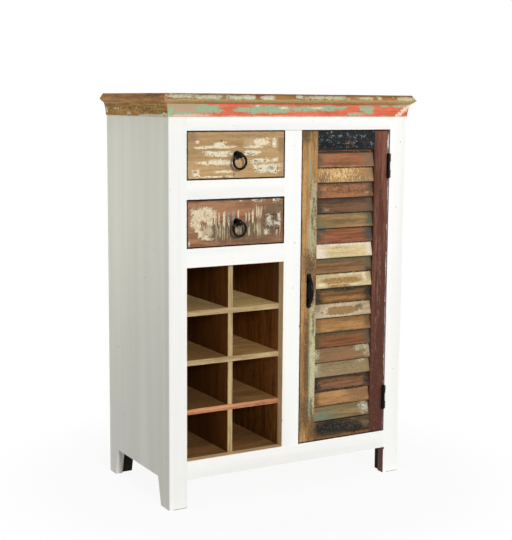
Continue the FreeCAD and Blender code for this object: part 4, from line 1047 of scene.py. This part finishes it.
def plane(name, points):
    """A flat sheet with four corners."""
    data = bpy.data.meshes.new(name)
    data.from_pydata(points, [], [(0, 1, 2, 3)])
    item = bpy.data.objects.new(name, data)
    bpy.context.scene.collection.objects.link(item)
    return item


def seen_directly(tree):
    """1 for what the camera sees, by itself, in a mirror or through glass."""
    rays = tree.nodes.new("ShaderNodeLightPath")
    seen = rays.outputs["Is Camera Ray"]
    for kind in ("Is Glossy Ray", "Is Transmission Ray"):
        either = tree.nodes.new("ShaderNodeMath")
        either.operation = "MAXIMUM"
        tree.links.new(seen, either.inputs[0])
        tree.links.new(rays.outputs[kind], either.inputs[1])
        seen = either.outputs[0]
    return seen


def lamp(name, place, size, power, colour):
    """A square area lamp that shines on the middle of the part."""
    data = bpy.data.lights.new(name, "AREA")
    data.shape = "SQUARE"
    data.size = size
    data.energy = power
    data.color = colour
    item = bpy.data.objects.new(name, data)
    item.location = place
    item.rotation_euler = (Vector(MIDDLE) - Vector(place)).to_track_quat("-Z", "Y").to_euler()
    bpy.context.scene.collection.objects.link(item)


floor = plane("floor", [(-FLOOR_REACH, -FLOOR_REACH, 0), (FLOOR_REACH, -FLOOR_REACH, 0),
                        (FLOOR_REACH, FLOOR_REACH, 0), (-FLOOR_REACH, FLOOR_REACH, 0)])
ground = Finish("studio_floor")
ground.shader.inputs["Base Color"].default_value = linear(FLOOR_COLOUR)
ground.shader.inputs["Roughness"].default_value = FLOOR_ROUGHNESS
ground.shader.inputs["Specular IOR Level"].default_value = 0.0
glow = ground.add("ShaderNodeEmission")
blend = ground.add("ShaderNodeMixShader")
distance = ground.add("ShaderNodeVectorMath", operation="LENGTH")
ground.feed(distance.inputs[0], ground.point)
fade = ground.step(distance.outputs["Value"], FADE_START, FADE_END, 1 - SHADOW_SHARE, 1.0)
ground.feed(blend.inputs[0], ground.math("MULTIPLY", fade, seen_directly(ground.tree)))
ground.feed(blend.inputs[1], ground.shader.outputs[0])
ground.feed(blend.inputs[2], glow.outputs[0])
output = next(node for node in ground.tree.nodes if node.type == "OUTPUT_MATERIAL")
ground.feed(output.inputs["Surface"], blend.outputs[0])
floor.data.materials.append(ground.material)

world = bpy.data.worlds.new("studio")
world.use_nodes = True
bpy.context.scene.world = world
tree = world.node_tree
background = tree.nodes["Background"]
background.inputs["Color"].default_value = (*PURE_WHITE, 1.0)
level = tree.nodes.new("ShaderNodeMapRange")
level.inputs["To Min"].default_value = SKY
tree.links.new(seen_directly(tree), level.inputs["Value"])
tree.links.new(level.outputs[0], background.inputs["Strength"])

lamp("key", place=(-1.0, -14.0, 5.0), size=1.2, power=1170, colour=PURE_WHITE)
lamp("right", place=(5.5, -6.5, 1.6), size=3.0, power=115, colour=PURE_WHITE)
lamp("fill", place=(-2.0, 3.2, 0.4), size=1.6, power=40, colour=WARM_WHITE)

# Camera at the photograph's place: turned to the right of straight on, tipped down, a little roll

YAW = math.radians(29.834)
PITCH_DOWN = math.radians(8.139)
ROLL = math.radians(0.426)
EYE = Vector((-1.6875, -2.9319, 1.0901))
FOCAL_PIXELS = 1173.6
FRAME_LONG_SIDE = 540
level_reach = math.cos(PITCH_DOWN)
ahead = Vector((math.sin(YAW) * level_reach, math.cos(YAW) * level_reach, -math.sin(PITCH_DOWN)))
right = Vector((math.cos(YAW), -math.sin(YAW), 0))
above = right.cross(ahead)
tilted_right = right * math.cos(ROLL) + above * math.sin(ROLL)
tilted_above = above * math.cos(ROLL) - right * math.sin(ROLL)
turn = Matrix((tilted_right, tilted_above, -ahead)).transposed()
camera = bpy.data.objects.new("camera", bpy.data.cameras.new("camera"))
camera.data.lens = FOCAL_PIXELS / FRAME_LONG_SIDE * camera.data.sensor_width
camera.matrix_world = Matrix.Translation(EYE) @ turn.to_4x4()
bpy.context.scene.collection.objects.link(camera)
bpy.context.scene.camera = camera
bpy.context.scene.view_settings.view_transform = "Standard"
